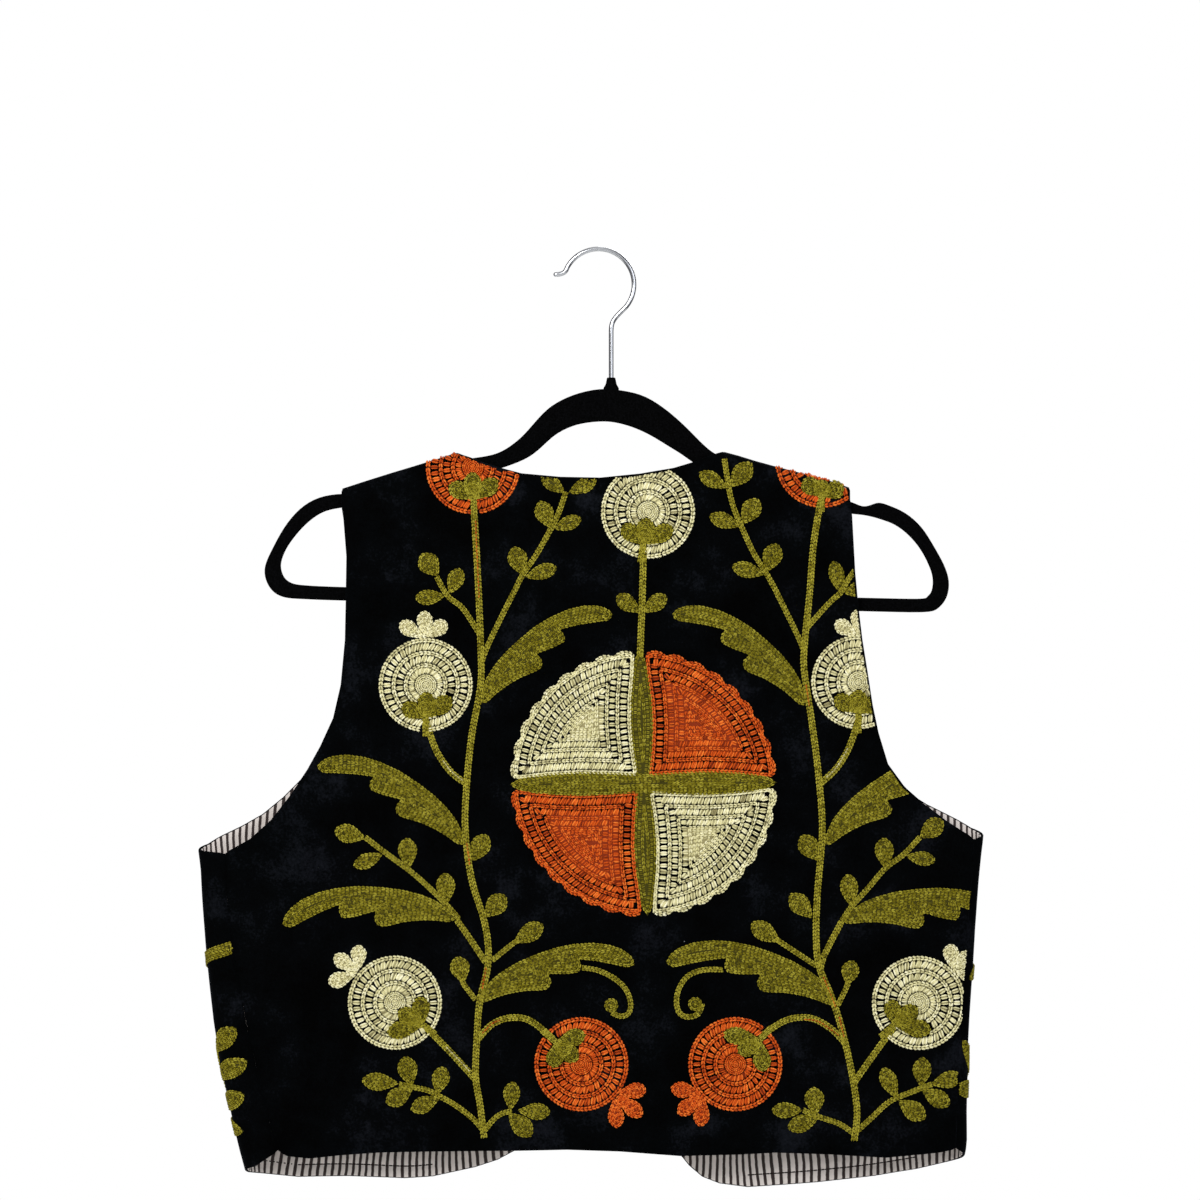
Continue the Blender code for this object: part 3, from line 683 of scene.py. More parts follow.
def striped_cotton():
    """Plain-woven cotton, off-white with brown-black pinstripes along the grain; matt, slightly slubby."""
    material, shader = new_material(
        "striped_cotton", Roughness=0.88, Sheen_Weight=0.08, Sheen_Roughness=0.6, Specular_IOR_Level=0.25,
    )
    tree = material.node_tree
    flat = node(material, "ShaderNodeUVMap", {"uv_map": "flat"}).outputs["UV"]
    slub = node(material, "ShaderNodeTexNoise", Vector=flat, Scale=240.0, Detail=2.0)
    pull = node(material, "ShaderNodeTexNoise", Vector=flat, Scale=15.0, Detail=1.0)
    pulled = maths(material, "MULTIPLY", pull.outputs["Fac"], 0.014)
    sway = maths(material, "MULTIPLY_ADD", slub.outputs["Fac"], 0.0007, pulled)
    axes = node(material, "ShaderNodeSeparateXYZ", Vector=flat)
    across = maths(material, "ADD", axes.outputs["X"], sway)
    part = maths(material, "FRACT", maths(material, "DIVIDE", across, STRIPE))
    stripe = ramp(material, part, (
        (0.0, "#352b28"), (STRIPE_DARK - 0.05, "#302725"), (STRIPE_DARK + 0.03, "#d2c9c2"),
        (0.96, "#d8cfc8"), (1.0, "#453a37"),
    ))
    tree.links.new(stripe, shader.inputs["Base Color"])
    weave = node(material, "ShaderNodeTexNoise", Vector=flat, Scale=1800.0, Detail=1.0)
    link_bump(material, shader, 0.25, 0.0002, weave.outputs["Fac"])
    return material


def cotton_thread(name, dark, middle, light):
    """Mercerised cotton floss, chain stitched: a soft lustre, each loop a little lighter or darker."""
    material, shader = new_material(
        name, Roughness=0.6, Sheen_Weight=0.02, Sheen_Roughness=0.4, Specular_IOR_Level=0.1,
    )
    tree = material.node_tree
    tone = node(material, "ShaderNodeAttribute", {"attribute_name": "tone"}).outputs["Fac"]
    colour = ramp(material, tone, ((0.0, dark), (0.5, middle), (1.0, light)))
    tree.links.new(colour, shader.inputs["Base Color"])
    place = node(material, "ShaderNodeTexCoord").outputs["Object"]
    twist = node(material, "ShaderNodeTexNoise", Vector=place, Scale=1500.0, Detail=1.0)
    link_bump(material, shader, 0.4, 0.0003, twist.outputs["Fac"])
    return material


def nylon_flock():
    """Nylon flock on moulded plastic: deep matt black with a faint dusty bloom."""
    material, shader = new_material(
        "black_nylon_flock", Roughness=0.96, Sheen_Weight=0.02, Sheen_Roughness=0.4,
        Sheen_Tint=linear("#8c8f98"), Specular_IOR_Level=0.03,
    )
    tree = material.node_tree
    place = node(material, "ShaderNodeTexCoord").outputs["Object"]
    fibre = node(material, "ShaderNodeTexNoise", Vector=place, Scale=900.0, Detail=2.0)
    colour = ramp(material, fibre.outputs["Fac"], ((0.35, "#010101"), (0.7, "#060607")))
    tree.links.new(dusted(material, place, colour, 150.0, 0.05), shader.inputs["Base Color"])
    link_bump(material, shader, 0.5, 0.0004, fibre.outputs["Fac"])
    return material


def chrome_plate():
    """Chromium plate on drawn steel wire: a clean mirror with faint drawing marks."""
    material, shader = new_material("chrome_plated_wire", Metallic=1.0, Base_Color=linear("#c9cbce"))
    tree = material.node_tree
    place = node(material, "ShaderNodeTexCoord").outputs["Object"]
    marks = node(material, "ShaderNodeTexNoise", Vector=place, Scale=700.0, Detail=2.0)
    rough = node(material, "ShaderNodeMapRange", Value=marks.outputs["Fac"], To_Min=0.1, To_Max=0.24)
    tree.links.new(rough.outputs["Result"], shader.inputs["Roughness"])
    return material


velvet = cotton_velvet()
lining_cotton = striped_cotton()
flock = nylon_flock()
chrome = chrome_plate()
THREADS = {
    "olive": cotton_thread("olive_cotton_thread", "#353104", "#776d0c", "#a99f33"),
    "cream": cotton_thread("cream_cotton_thread", "#8f865c", "#ded7a3", "#f8f3cf"),
    "orange": cotton_thread("orange_cotton_thread", "#762405", "#cc5210", "#ee7f2e"),
}

SHOULDER_SEAMS = [line(SHOULDER_LEFT), line(SHOULDER_RIGHT)]
# For each panel: the side it lies on, its outline, its seams and the lines along its hem.
PANELS = {
    "back": (BACK, BACK_OUTLINE, SHOULDER_SEAMS + [line(SEAM_RIGHT, False, 1), line(SEAM_LEFT, False, -1)],
             hem_rows_of(BACK_HEM, 0)),
    "front_left": (FRONT, FRONT_LEFT_OUTLINE, [SHOULDER_SEAMS[0], line(SEAM_LEFT, True, -1)],
                   hem_rows_of(turned(FRONT_HEM_LEFT), -1)),
    "front_right": (FRONT, FRONT_RIGHT_OUTLINE, [SHOULDER_SEAMS[1], line(SEAM_RIGHT, True, 1)],
                    hem_rows_of(FRONT_HEM_RIGHT, 1)),
}
for panel_name, (panel, outline, seams, hem_rows) in PANELS.items():
    shell = cloth(panel_name + "_velvet", panel, outline, 0.0, VELVET_THICK, velvet, 0.5, 0.0, seams,
                  hem_rows)
    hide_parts(panel_name)
    shell = cloth(panel_name + "_cotton", panel, outline, LINING_OUTER, LINING_INNER, lining_cotton, 0.3,
                  LINING_INSET, seams, hem_rows)
    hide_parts(panel_name + "_lining")


# Sewing thread, dark enough that the hem's stitches also paint the shadow under the lining's fold

STITCH_CORNER = (264, 1162)  # where the left lining's stitches reach its corner, in units
STITCH_PITCH = 2.4
# The stitches nearly touch, so that they make one dark line: painted shadow under the lining's folded hem.
STITCH_SHARE = 0.94  # of the pitch, the rest is the gap
STITCH_HALF_WIDTH = 0.4
STITCH_RISE = 0.4
STITCH_SUNK = 0.35  # the stitch's ends lie this far under the lining's face, and its foot twice as far
# Near-black thread for the hem's stitches: partly the stitches, partly painted shadow under the lining's
# fold.
stitch_and_shadow_thread = cotton_thread("dark_stitch_and_fold_shadow_thread", "#14100e", "#241c19", "#3b302c")


def hem_stitches_and_fold_shadow(name, panel, run):
    """Machine stitches along the folded hem of a lining: short flat dark beads on its inner face, close
    enough to make one dark line that is also the painted shadow under the fold.
    """
    path = resampled(run, STITCH_PITCH)
    start, end = path[:-1], path[:-1] + np.diff(path, axis=0) * STITCH_SHARE
    along = end - start
    across = np.stack([-along[:, 1], along[:, 0]], axis=1) / np.hypot(*along.T)[:, None] * STITCH_HALF_WIDTH
    corners = ((0.0, 0.0), (0.25, STITCH_RISE), (0.75, STITCH_RISE), (1.0, 0.0))
    flat, depth = [], []
    for part, rise in corners:
        for side in (-1.0, 1.0):
            flat.append(start + along * part + across * side)
            depth.append(LINING_INNER - STITCH_SUNK + rise)
    flat = np.stack(flat, axis=1)
    depth = np.broadcast_to(np.array(depth), flat.shape[:2])
    flat = np.concatenate([flat, flat[:, [0, 1, 6, 7]]], axis=1)
    depth = np.concatenate([depth, np.full((len(flat), 4), LINING_INNER - 2.0 * STITCH_SUNK)], axis=1)
    points = panel.place(flat[..., 0].ravel(), flat[..., 1].ravel(), depth.ravel())
    one = [(0, 1, 3, 2), (2, 3, 5, 4), (4, 5, 7, 6), (8, 10, 11, 9), (8, 9, 1, 0), (10, 6, 7, 11),
           (8, 0, 2, 4, 6, 10), (9, 11, 7, 5, 3, 1)]
    faces = [tuple(i + first for i in face) for first in range(0, len(points), 12) for face in one]
    made = make_mesh(name, points, faces, stitch_and_shadow_thread, None, np.full(len(points), 0.5))
    outward_faces(made)
    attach(made, "root")


for panel_name in ("front_left", "front_right"):
    stitch_line = PANELS[panel_name][3][1]
    if panel_name == "front_left":
        stitch_line = np.vstack([mm(*STITCH_CORNER), stitch_line])
    hem_stitches_and_fold_shadow(panel_name + "_hem_stitches_and_fold_shadow", FRONT, stitch_line)


# Embroidery

CHAIN_WIDTH = 2.1
CHAIN_LINK = 2.6
STEM_LINK = 2.3
STITCH_HEIGHT = 1.15
LOOP_OPENS = 0.3  # of the row's width: how far a loop's strands stand from its middle at its end
LOOP_OVERLAP = 0.26  # of a link: how far a loop reaches into the next
STRAND_WIDTH = 0.48  # of the row's width
EDGE_MARGIN = 0.6  # stitches stay this far inside a panel's edge
SHOULDER_MARGIN = 0.1  # and this far from the shoulder seam, where the cloth rolls over
INSET_STEP = 0.8  # between the points of an outline that is moved inwards
PAD_INSET = 0.5
PAD_RISE = 0.55
PAD_SUNK = 0.15
# The pads' tone, the threads' darkest: painted shade between the stitches above them.
PAD_SHADE_TONE = 0.03
FILL_TONE = 0.6
STEM_TONE = 0.74
BAR_TONE = 0.5
# Across a bar: (place, bow and girth as shares of its width, shade), two strands and a darker one between
# them, painted shade in the groove.
BAR_STRANDS = ((0.17, 0.17, 0.42, 0.06), (-0.17, -0.17, 0.42, 0.0), (0.0, 0.0, 0.36, -0.3))
RNG = np.random.default_rng(2604)


def at(*points):
    """Measured points as (u, z) mm on the flat run."""
    return np.array([mm(x, y) for x, y in points])


def left_of(along):
    """Unit vectors a quarter turn to the left of directions."""
    normal = np.stack([-along[:, 1], along[:, 0]], axis=1)
    return normal / np.maximum(np.hypot(*normal.T), 1e-9)[:, None]


def beside(path, shift):
    """A path moved sideways."""
    return path + left_of(np.gradient(path, axis=0)) * shift


def inset_runs(outline, depth):
    """An outline moved inwards, as runs of points; one that goes all round ends where it began."""
    edge = resampled(outline, INSET_STEP, True)
    if signed_area(edge) < 0.0:
        edge = edge[::-1]
    ahead = np.roll(edge, -1, axis=0) - edge
    heading = np.arctan2(ahead[:, 1], ahead[:, 0])
    turn = (heading - np.roll(heading, 1) + math.pi) % math.tau - math.pi
    moved = []
    for point, angle, change in zip(edge, heading, turn):
        arc = max(1, int(-change * depth / INSET_STEP)) if change < -0.1 else 1
        for k in range(arc):
            bearing = angle - change * (0.5 if arc == 1 else 1.0 - (k + 0.5) / arc) + math.pi / 2.0
            moved.append(point + depth * np.array([math.cos(bearing), math.sin(bearing)]))
    moved = np.array(moved)
    points = moved[distance(sides_of(edge), moved) >= depth - 0.14]
    if len(points) < 3:
        return []
    breaks = np.flatnonzero(np.hypot(*(np.roll(points, -1, axis=0) - points).T) > 2.6 * INSET_STEP)
    if len(breaks) == 0:
        return [np.vstack([points, points[:1]])]
    points = np.roll(points, -(breaks[0] + 1), axis=0)
    return [run for run in np.split(points, breaks[1:] - breaks[0]) if len(run) > 1]


def drop_shape(base, tip, width, widest):
    """A petal's outline, narrow at its base and round at its tip; `widest` is a share of its length."""
    t = np.linspace(0.0, 1.0, 15)
    power = math.log(0.5) / math.log(widest)
    half = 0.5 * width * np.sin(math.pi * t ** power) ** 0.8
    axis = tip - base
    across = left_of(axis[None, :])[0]
    spine = base + axis * t[:, None]
    return np.vstack([spine + across * half[:, None], (spine - across * half[:, None])[-2:0:-1]])


def ring(centre, radius, count=72):
    """A circle's points."""
    turn = np.linspace(0.0, math.tau, count, endpoint=False)
    return centre + radius * np.stack([np.cos(turn), np.sin(turn)], axis=1)


class Embroidery:
    """Chain stitching on one panel: strands of thread by colour, and dark pads of thread under solid shapes,
    painted shade between the strands.
    """

    def __init__(self, name, panel, outline):
        self.name = name
        self.panel = panel
        edge = dense(outline, 3.0)
        margin = np.where(np.abs(edge[:, 1] - shoulder(edge[:, 0])) < 0.5, SHOULDER_MARGIN, EDGE_MARGIN)
        self.limit = edge - outward(edge) * margin[:, None]
        self.strands = {colour: [] for colour in THREADS}
        self.pads = {colour: [] for colour in THREADS}

    def strand(self, colour, start, end, bow, width, lift, height, tone):
        """Strands from start to end, each bowed to its left, and lifted off the cloth."""
        columns = [np.broadcast_to(value, len(start)) for value in (bow, width, lift, height, tone)]
        self.strands[colour].append(np.column_stack([start, end, *columns]))

    def chain(self, colour, path, width=CHAIN_WIDTH, lift=0.0, tone=0.5, link=CHAIN_LINK, phase=0.0):
        """A row of chain stitch: each loop is two strands that open towards the next."""
        run = resampled(path, link)
        if phase:
            run = np.vstack([run[:1], run[:-1] + (run[1:] - run[:-1]) * phase, run[-1:]])
        start, end = run[:-1], run[1:]
        along = end - start
        across = left_of(along) * width
        count = len(start)
        start = start + across * RNG.normal(0.0, 0.035, count)[:, None]
        reach = end + along * RNG.normal(LOOP_OVERLAP, 0.07, count)[:, None]
        shade = tone + RNG.normal(0.0, 0.12, count)
        for sign in (1.0, -1.0):
            shine = shade + RNG.normal(0.0, 0.13, count)
            self.strand(colour, start + across * sign * 0.03, reach + across * sign * LOOP_OPENS,
                        sign * 0.1 * width, STRAND_WIDTH * width, lift,
                        STITCH_HEIGHT * (0.75 + 0.15 * width), shine)

    def bars(self, colour, path, length, width, lean):
        """Bars across a path at its points: two strands that bow apart, and a darker one between them that
        is painted shade in the groove.
        """
        across = left_of(np.gradient(path, axis=0))
        along = np.stack([across[:, 1], -across[:, 0]], axis=1)
        half = across * length * 0.56 + along * (lean * length)[:, None]
        shade = BAR_TONE + RNG.normal(0.0, 0.16, len(path))
        for place, bow, girth, shift in BAR_STRANDS:
            aside = along * (place * width)[:, None]
            skew = along * (RNG.normal(0.0, 0.08, len(path)) * width)[:, None]
            shine = shade + shift + RNG.normal(0.0, 0.11, len(path))
            self.strand(colour, path + half + aside + skew, path - half + aside - skew, bow * width,
                        girth * width, 0.4 * shift, STITCH_HEIGHT * 0.85, shine)

    def pad(self, colour, outline, lift=0.0):
        """A thin dark slab of thread under stitches, so that no cloth shows between them: painted shade in
        the gaps between the stitches.
        """
        self.pads[colour].append((outline - outward(outline) * PAD_INSET, lift))

    def clear(self, colour, outlines):
        """Takes away the strands of a colour whose middles lie inside outlines."""
        table = np.concatenate(self.strands[colour])
        centre = (table[:, 0:2] + table[:, 2:4]) / 2.0
        covered = np.zeros(len(table), bool)
        for outline in outlines:
            covered |= inside(outline, centre)
        self.strands[colour] = [table[~covered]]

    def fill(self, colour, outline, lift=0.0):
        """A solid shape: rows of chain, one in the other, on a dark pad of painted shade; the outermost is a
        little lighter.
        """
        self.pad(colour, outline, lift)
        tone = FILL_TONE
        depth = CHAIN_WIDTH * 0.42
        phase = 0.0
        while True:
            runs = inset_runs(outline, depth)
            if not runs:
                break
            for run in runs:
                self.chain(colour, run, CHAIN_WIDTH, lift, tone + RNG.normal(0.0, 0.03), phase=phase)
            if depth < CHAIN_WIDTH * 0.5:
                tone -= 0.1
            depth += CHAIN_WIDTH * 0.92
            phase = (phase + 0.36) % 1.0

    def stem(self, path, pitch=2.0, lift=0.1):
        """Two olive rows of chain side by side along a smooth path, the second half a loop on."""
        smooth_path = rounded(path, steps=8)
        for side, phase in ((-0.5, 0.0), (0.5, 0.5)):
            row = beside(smooth_path, side * pitch)
            self.chain("olive", row, pitch * 1.05, lift, STEM_TONE, STEM_LINK, phase)

    def lace(self, colour, outline, rings, pitch=3.9):
        """Rings of chain with open bars between them, from the outline inwards."""
        depth = 0.0
        for kind, width in rings:
            for run in inset_runs(outline, depth + width / 2.0):
                if kind == "chain":
                    self.chain(colour, run, width)
                    continue
                path = resampled(run, pitch)
                if len(path) < 2:
                    continue
                if np.hypot(*(path[0] - path[-1])) < 0.5:
                    path = path[:-1]
                steep = left_of(np.gradient(path, axis=0))[:, 1] ** 2
                share = 0.6 + 0.24 * steep + RNG.normal(0.0, 0.05, len(path))
                self.bars(colour, path, width, pitch * share, 0.26 * steep)
            depth += width

    def clipped(self, table):
        """The strands inside the panel's edge; one that crosses it is cut short there."""
        start, end = table[:, 0:2].copy(), table[:, 2:4].copy()
        start_in, end_in = inside(self.limit, start), inside(self.limit, end)
        for near, far, cut in ((start, end, start_in & ~end_in), (end, start, end_in & ~start_in)):
            low, high = np.zeros(cut.sum()), np.ones(cut.sum())
            for _ in range(7):
                part = (low + high) / 2.0
                ok = inside(self.limit, near[cut] + (far[cut] - near[cut]) * part[:, None])
                low, high = np.where(ok, part, low), np.where(ok, high, part)
            far[cut] = near[cut] + (far[cut] - near[cut]) * low[:, None]
        size = np.hypot(*(end - start).T)
        keep = (start_in | end_in) & (size > 0.6)
        return np.column_stack([start, end, table[:, 4:]])[keep]

    def build(self, split=()):
        """One mesh for each colour and stretch of the girth, closed strands and pads together."""
        bounds = [-math.inf, *split, math.inf]
        for colour, rows in self.strands.items():
            if not rows:
                continue
            table = self.clipped(np.concatenate(rows))
            centre = (table[:, 0:2] + table[:, 2:4]) / 2.0
            for k, (low, high) in enumerate(zip(bounds, bounds[1:])):
                part = table[(centre[:, 0] >= low) & (centre[:, 0] < high)]
                pads = [pad for pad in self.pads[colour] if low <= pad[0][:, 0].mean() < high]
                if len(part):
                    name = f"{self.name}_{colour}_stitches" + (f"_{k + 1}" if split else "")
                    piece = self.mesh(name, colour, part, pads)
                    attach(piece, "root")

    def mesh(self, name, colour, table, pads):
        """Each strand as a closed spindle with two square rings, and each pad as a flat slab."""
        start, end = table[:, 0:2], table[:, 2:4]
        bow, width, lift, height, tone = table[:, 4:].T
        along = end - start
        across = left_of(along)
        flat = np.empty((len(table), 10, 2))
        up = np.empty((len(table), 10))
        flat[:, 0], up[:, 0] = start, lift + 0.2 * height
        flat[:, 9], up[:, 9] = end, lift + 0.25 * height
        corners = ((0.5, 0.42), (0.0, 1.0), (-0.5, 0.42), (0.0, 0.0))
        for first, t in ((1, 0.28), (5, 0.72)):
            middle = start + along * t + across * bow[:, None]
            for k, (side, rise) in enumerate(corners):
                flat[:, first + k] = middle + across * (side * width)[:, None]
                up[:, first + k] = lift + rise * height
        flat, up = flat.reshape(-1, 2), up.ravel()
        points = self.panel.place(flat[:, 0], flat[:, 1], -up)
        one = []
        for k in range(4):
            n = (k + 1) % 4
            one += [(0, 1 + n, 1 + k), (1 + k, 1 + n, 5 + n, 5 + k), (9, 5 + k, 5 + n)]
        if self.panel.side > 0:
            one = [tuple(reversed(face)) for face in one]
        faces = [tuple(i + base for i in face) for base in range(0, len(flat), 10) for face in one]
        tones = np.repeat(tone, 10)
        # Painted light on every strand: its top lighter as a painted highlight, its underside and its ends
        # darker as painted shade.
        tones = tones + np.tile([-0.1, 0.0, 0.12, 0.0, -0.25, 0.0, 0.12, 0.0, -0.25, -0.1], len(table))
        blocks, shades, count = [points], [tones], len(points)
        for outline, pad_lift in pads:
            crosses_edge = not inside(self.limit, outline).all()
            if crosses_edge:
                outline = resampled(outline, 1.5, True)
            flat_pad, cells = triangulated(outline, [], 2.0 if crosses_edge else 6.0)
            cells = cells[inside(self.limit, flat_pad)[cells].all(axis=1)]
            if not len(cells):
                continue
            if self.panel.side > 0:
                cells = cells[:, ::-1]
            size = len(flat_pad)
            for rise in (pad_lift + PAD_RISE, pad_lift - PAD_SUNK):
                blocks.append(self.panel.place(flat_pad[:, 0], flat_pad[:, 1], -rise))
            # The pads are dark: painted shade between the stitches.
            shades.append(np.full(2 * size, PAD_SHADE_TONE))
            faces += (cells + count).tolist()
            faces += (cells[:, ::-1] + count + size).tolist()
            for a, b in rim_edges(cells):
                faces.append((b + count, a + count, a + count + size, b + count + size))
            count += 2 * size
        return make_mesh(name, np.concatenate(blocks), faces, THREADS[colour], None, np.concatenate(shades))


# Motifs: ordinary leaves, buds, sprigs and pomegranates, each from its own few sizes

LEAF_UPPER = (
    (0, 0), (0.04, 0.055), (0.12, 0.115), (0.2, 0.15), (0.3, 0.18), (0.42, 0.2), (0.55, 0.212),
    (0.67, 0.206), (0.78, 0.186), (0.88, 0.148), (0.95, 0.1), (0.99, 0.05), (1, 0),
)
LEAF_LOWER = (
    (0.955, -0.013), (0.874, 0.027), (0.775, 0.073), (0.667, 0.112), (0.676, 0.071), (0.655, 0.03),
    (0.572, 0.04), (0.46, 0.068), (0.474, 0.0125), (0.445, -0.022), (0.406, -0.024), (0.304, -0.002),
    (0.2, 0.005), (0.12, 0), (0.04, -0.012),
)
DISC_RADIUS = 30.6
DISC_RINGS = (
    ("chain", 2.9), ("bars", 5.5), ("chain", 2.6), ("bars", 5.3), ("chain", 2.6), ("bars", 4.6),
    ("chain", 2.4), ("chain", 2.4), ("chain", 2.2),
)
QUARTER_RINGS = (
    ("chain", 2.5), ("bars", 5.3), ("chain", 2.4), ("bars", 4.6), ("chain", 2.2), ("bars", 4.4),
    ("chain", 2.2), ("chain", 2.2), ("chain", 2.1), ("chain", 2.1), ("chain", 2.1),
)
ARM_RINGS = (("chain", 2.2), ("bars", 2.7), ("chain", 2.1), ("chain", 2))
PETAL_WIDTH = 10.6
BUD_WIDTH = 11.6
SPRIG_PITCH = 1.75


def leaf(work, base, tip):
    """A long leaf with one smooth arched side and two notches in the other."""
    chord = tip - base
    arch = left_of(chord[None, :])[0] * np.hypot(*chord)
    if arch[1] < 0.0:
        arch = -arch
    outline = np.array([base + chord * s + arch * n for s, n in LEAF_UPPER + LEAF_LOWER])
    work.fill("olive", outline)


def bud(work, root, tip, width=BUD_WIDTH):
    """A small oval leaf from its place on a stem to its tip."""
    work.fill("olive", drop_shape(root, tip, width, 0.6))


def sprig(work, path, leaves):
    """A thin stem with oval leaves, each given by its middle, that grow forwards from it."""
    work.stem(path, pitch=SPRIG_PITCH)
    run = resampled(rounded(path, steps=8), 1.0)
    for centre in leaves:
        away = np.hypot(*(run - centre).T)
        nearest = int(np.argmin(away))
        back = away[nearest] * (0.2 if nearest > len(run) - 3 else 1.0)
        root = run[max(0, nearest - int(back))]
        axis = (centre - root) / max(np.hypot(*(centre - root)), 1e-6)
        bud(work, root, centre + axis * 9.0)


def crown(work, colour, base, tips):
    """Petals that spread from one point, and the stitches that join them there."""
    if tips:
        work.fill(colour, ring(base + (sum(tips) / len(tips) - base) * 0.42, 4.6, 20), 0.25)
    for k, tip in enumerate(tips):
        petal = drop_shape(base, tip + (tip - base) * 0.06, PETAL_WIDTH, 0.68)
        work.fill(colour, petal, 0.5 * (k % 2))


STALK_SLOT = 2.4  # half the width of the gap that the fruit leaves for its stalk


def pomegranate(work, colour, centre, petals, petal_base, lobes, lobe_base, radius=DISC_RADIUS):
    """A round fruit in rings of chain and bars, with its crown, and an olive calyx over its edge."""
    work.lace(colour, ring(centre, radius), DISC_RINGS)
    crown(work, colour, petal_base, petals)
    middle = sum(lobes) / len(lobes)
    calyx = [
        drop_shape(lobe_base - (tip - lobe_base) * 0.06, tip + (tip - lobe_base) * 0.32, BUD_WIDTH, 0.66)
        for tip in lobes
    ]
    calyx.append(ring(lobe_base + (middle - lobe_base) * 0.62, 5.6, 24))
    out = (lobe_base - centre) / np.hypot(*(lobe_base - centre))
    rim = centre + out * (radius + 1.0)
    across = left_of(out[None, :])[0] * STALK_SLOT
    slot = np.array([lobe_base - across, rim - across, rim + across, lobe_base + across])
    work.clear(colour, calyx + [slot])
    for k, outline in enumerate(calyx):
        work.fill("olive", outline, 0.4 + 0.1 * k)
    work.stem(np.array([lobe_base + (middle - lobe_base) * 0.5, lobe_base, rim + out * 1.6]), lift=0.6)


ARM_CORNER = (5.7, 7.5)
ARM_SIDE = ((9, 34), (10.7, 60), (9.7, 85), (6.6, 110))  # along the upright arm, in units
ARM_BAR = ((112, 6.8), (93, 8.8), (63, 10.3), (33, 9.3))  # along the level arm, in units
ROUNDEL_CENTRE = (643.5, 783.2)
ROUNDEL_RADIUS = 129.5
SCALLOP = 4.2
SCALLOPS = 9
QUARTER_CORE = (50, 58)  # the middle of a quarter, in units from the roundel's centre
CORE_SHARE = {"orange": 0.62, "cream": 0.3}  # of a quarter, its padded middle
ARM_OVERLAP = 0.9  # the arms reach this far over the quarters, mm
LEAN = -0.0285  # the upright arm leans a little to the left at its top
TILT = 0.0086  # the level arm rises a little to the right


def leaned(shape):
    """A shape round the origin, turned by the small angles of the roundel's arms."""
    return np.stack([shape[:, 0] + LEAN * shape[:, 1], shape[:, 1] + TILT * shape[:, 0]], axis=1)


def arm_outlines(centre):
    """The upright and the level arm of the cross: pointed at both ends and narrower in the middle."""
    corner_x, corner_y = ARM_CORNER
    upright = [(corner_x, 0.0), *ARM_SIDE, (4.0, 124.0), (0.0, 133.0)]
    level = [(0.0, corner_y), *reversed(ARM_BAR), (124.0, 4.2), (134.0, 0.0)]
    outlines = []
    for half, along in ((upright, 1), (level, 0)):
        side = np.array(half) * UNIT
        side[:-1, 1 - along] += ARM_OVERLAP
        side = side[np.argsort(side[:, along])]
        mirror = np.ones(2)
        mirror[along] = -1.0
        there = np.vstack([side[::-1] * mirror, side[1:]])
        back = there[-2:0:-1] * -mirror
        outlines.append(centre + leaned(np.vstack([there, back])))
    return outlines


def quarter_outline(centre, flip_x, flip_y, scallop):
    """A quarter of the roundel; flips are 1 or -1, and its outer edge bulges by `scallop` units."""
    start, end = math.atan2(125.0, 5.2), math.atan2(5.0, 125.0)
    arc = []
    for k in range(SCALLOPS * 8 + 1):
        part = k / (SCALLOPS * 8)
        turn = start + (end - start) * part
        radius = ROUNDEL_RADIUS + scallop * abs(math.sin(math.pi * SCALLOPS * part)) ** 0.7
        arc.append((radius * math.cos(turn), radius * math.sin(turn)))
    shape = np.array([ARM_CORNER, *ARM_SIDE, *arc, *ARM_BAR]) * UNIT * np.array([flip_x, flip_y])
    return centre + leaned(shape)


def roundel(work):
    """Four quarters in two colours, parted by a cross of two olive arms."""
    centre = np.array(mm(*ROUNDEL_CENTRE))
    for colour, *flips in (("cream", -1, 1), ("orange", 1, 1), ("orange", -1, -1), ("cream", 1, -1)):
        for run in inset_runs(quarter_outline(centre, *flips, SCALLOP), 1.25):
            work.chain(colour, run, 2.5)
        quarter = quarter_outline(centre, *flips, 0.0)
        work.lace(colour, quarter, QUARTER_RINGS)
        core = centre + leaned(np.array([QUARTER_CORE]) * flips * UNIT)[0]
        # A dark pad under the quarter's middle: painted shade in the gaps of its lace.
        work.pad(colour, core + (quarter - core) * CORE_SHARE[colour], -0.15)
    upright, level = arm_outlines(centre)
    # A dark pad under the upright arm: painted shade in the gaps of its lace.
    work.pad("olive", upright)
    work.lace("olive", upright, ARM_RINGS, 2.7)
    work.fill("olive", level, 0.3)


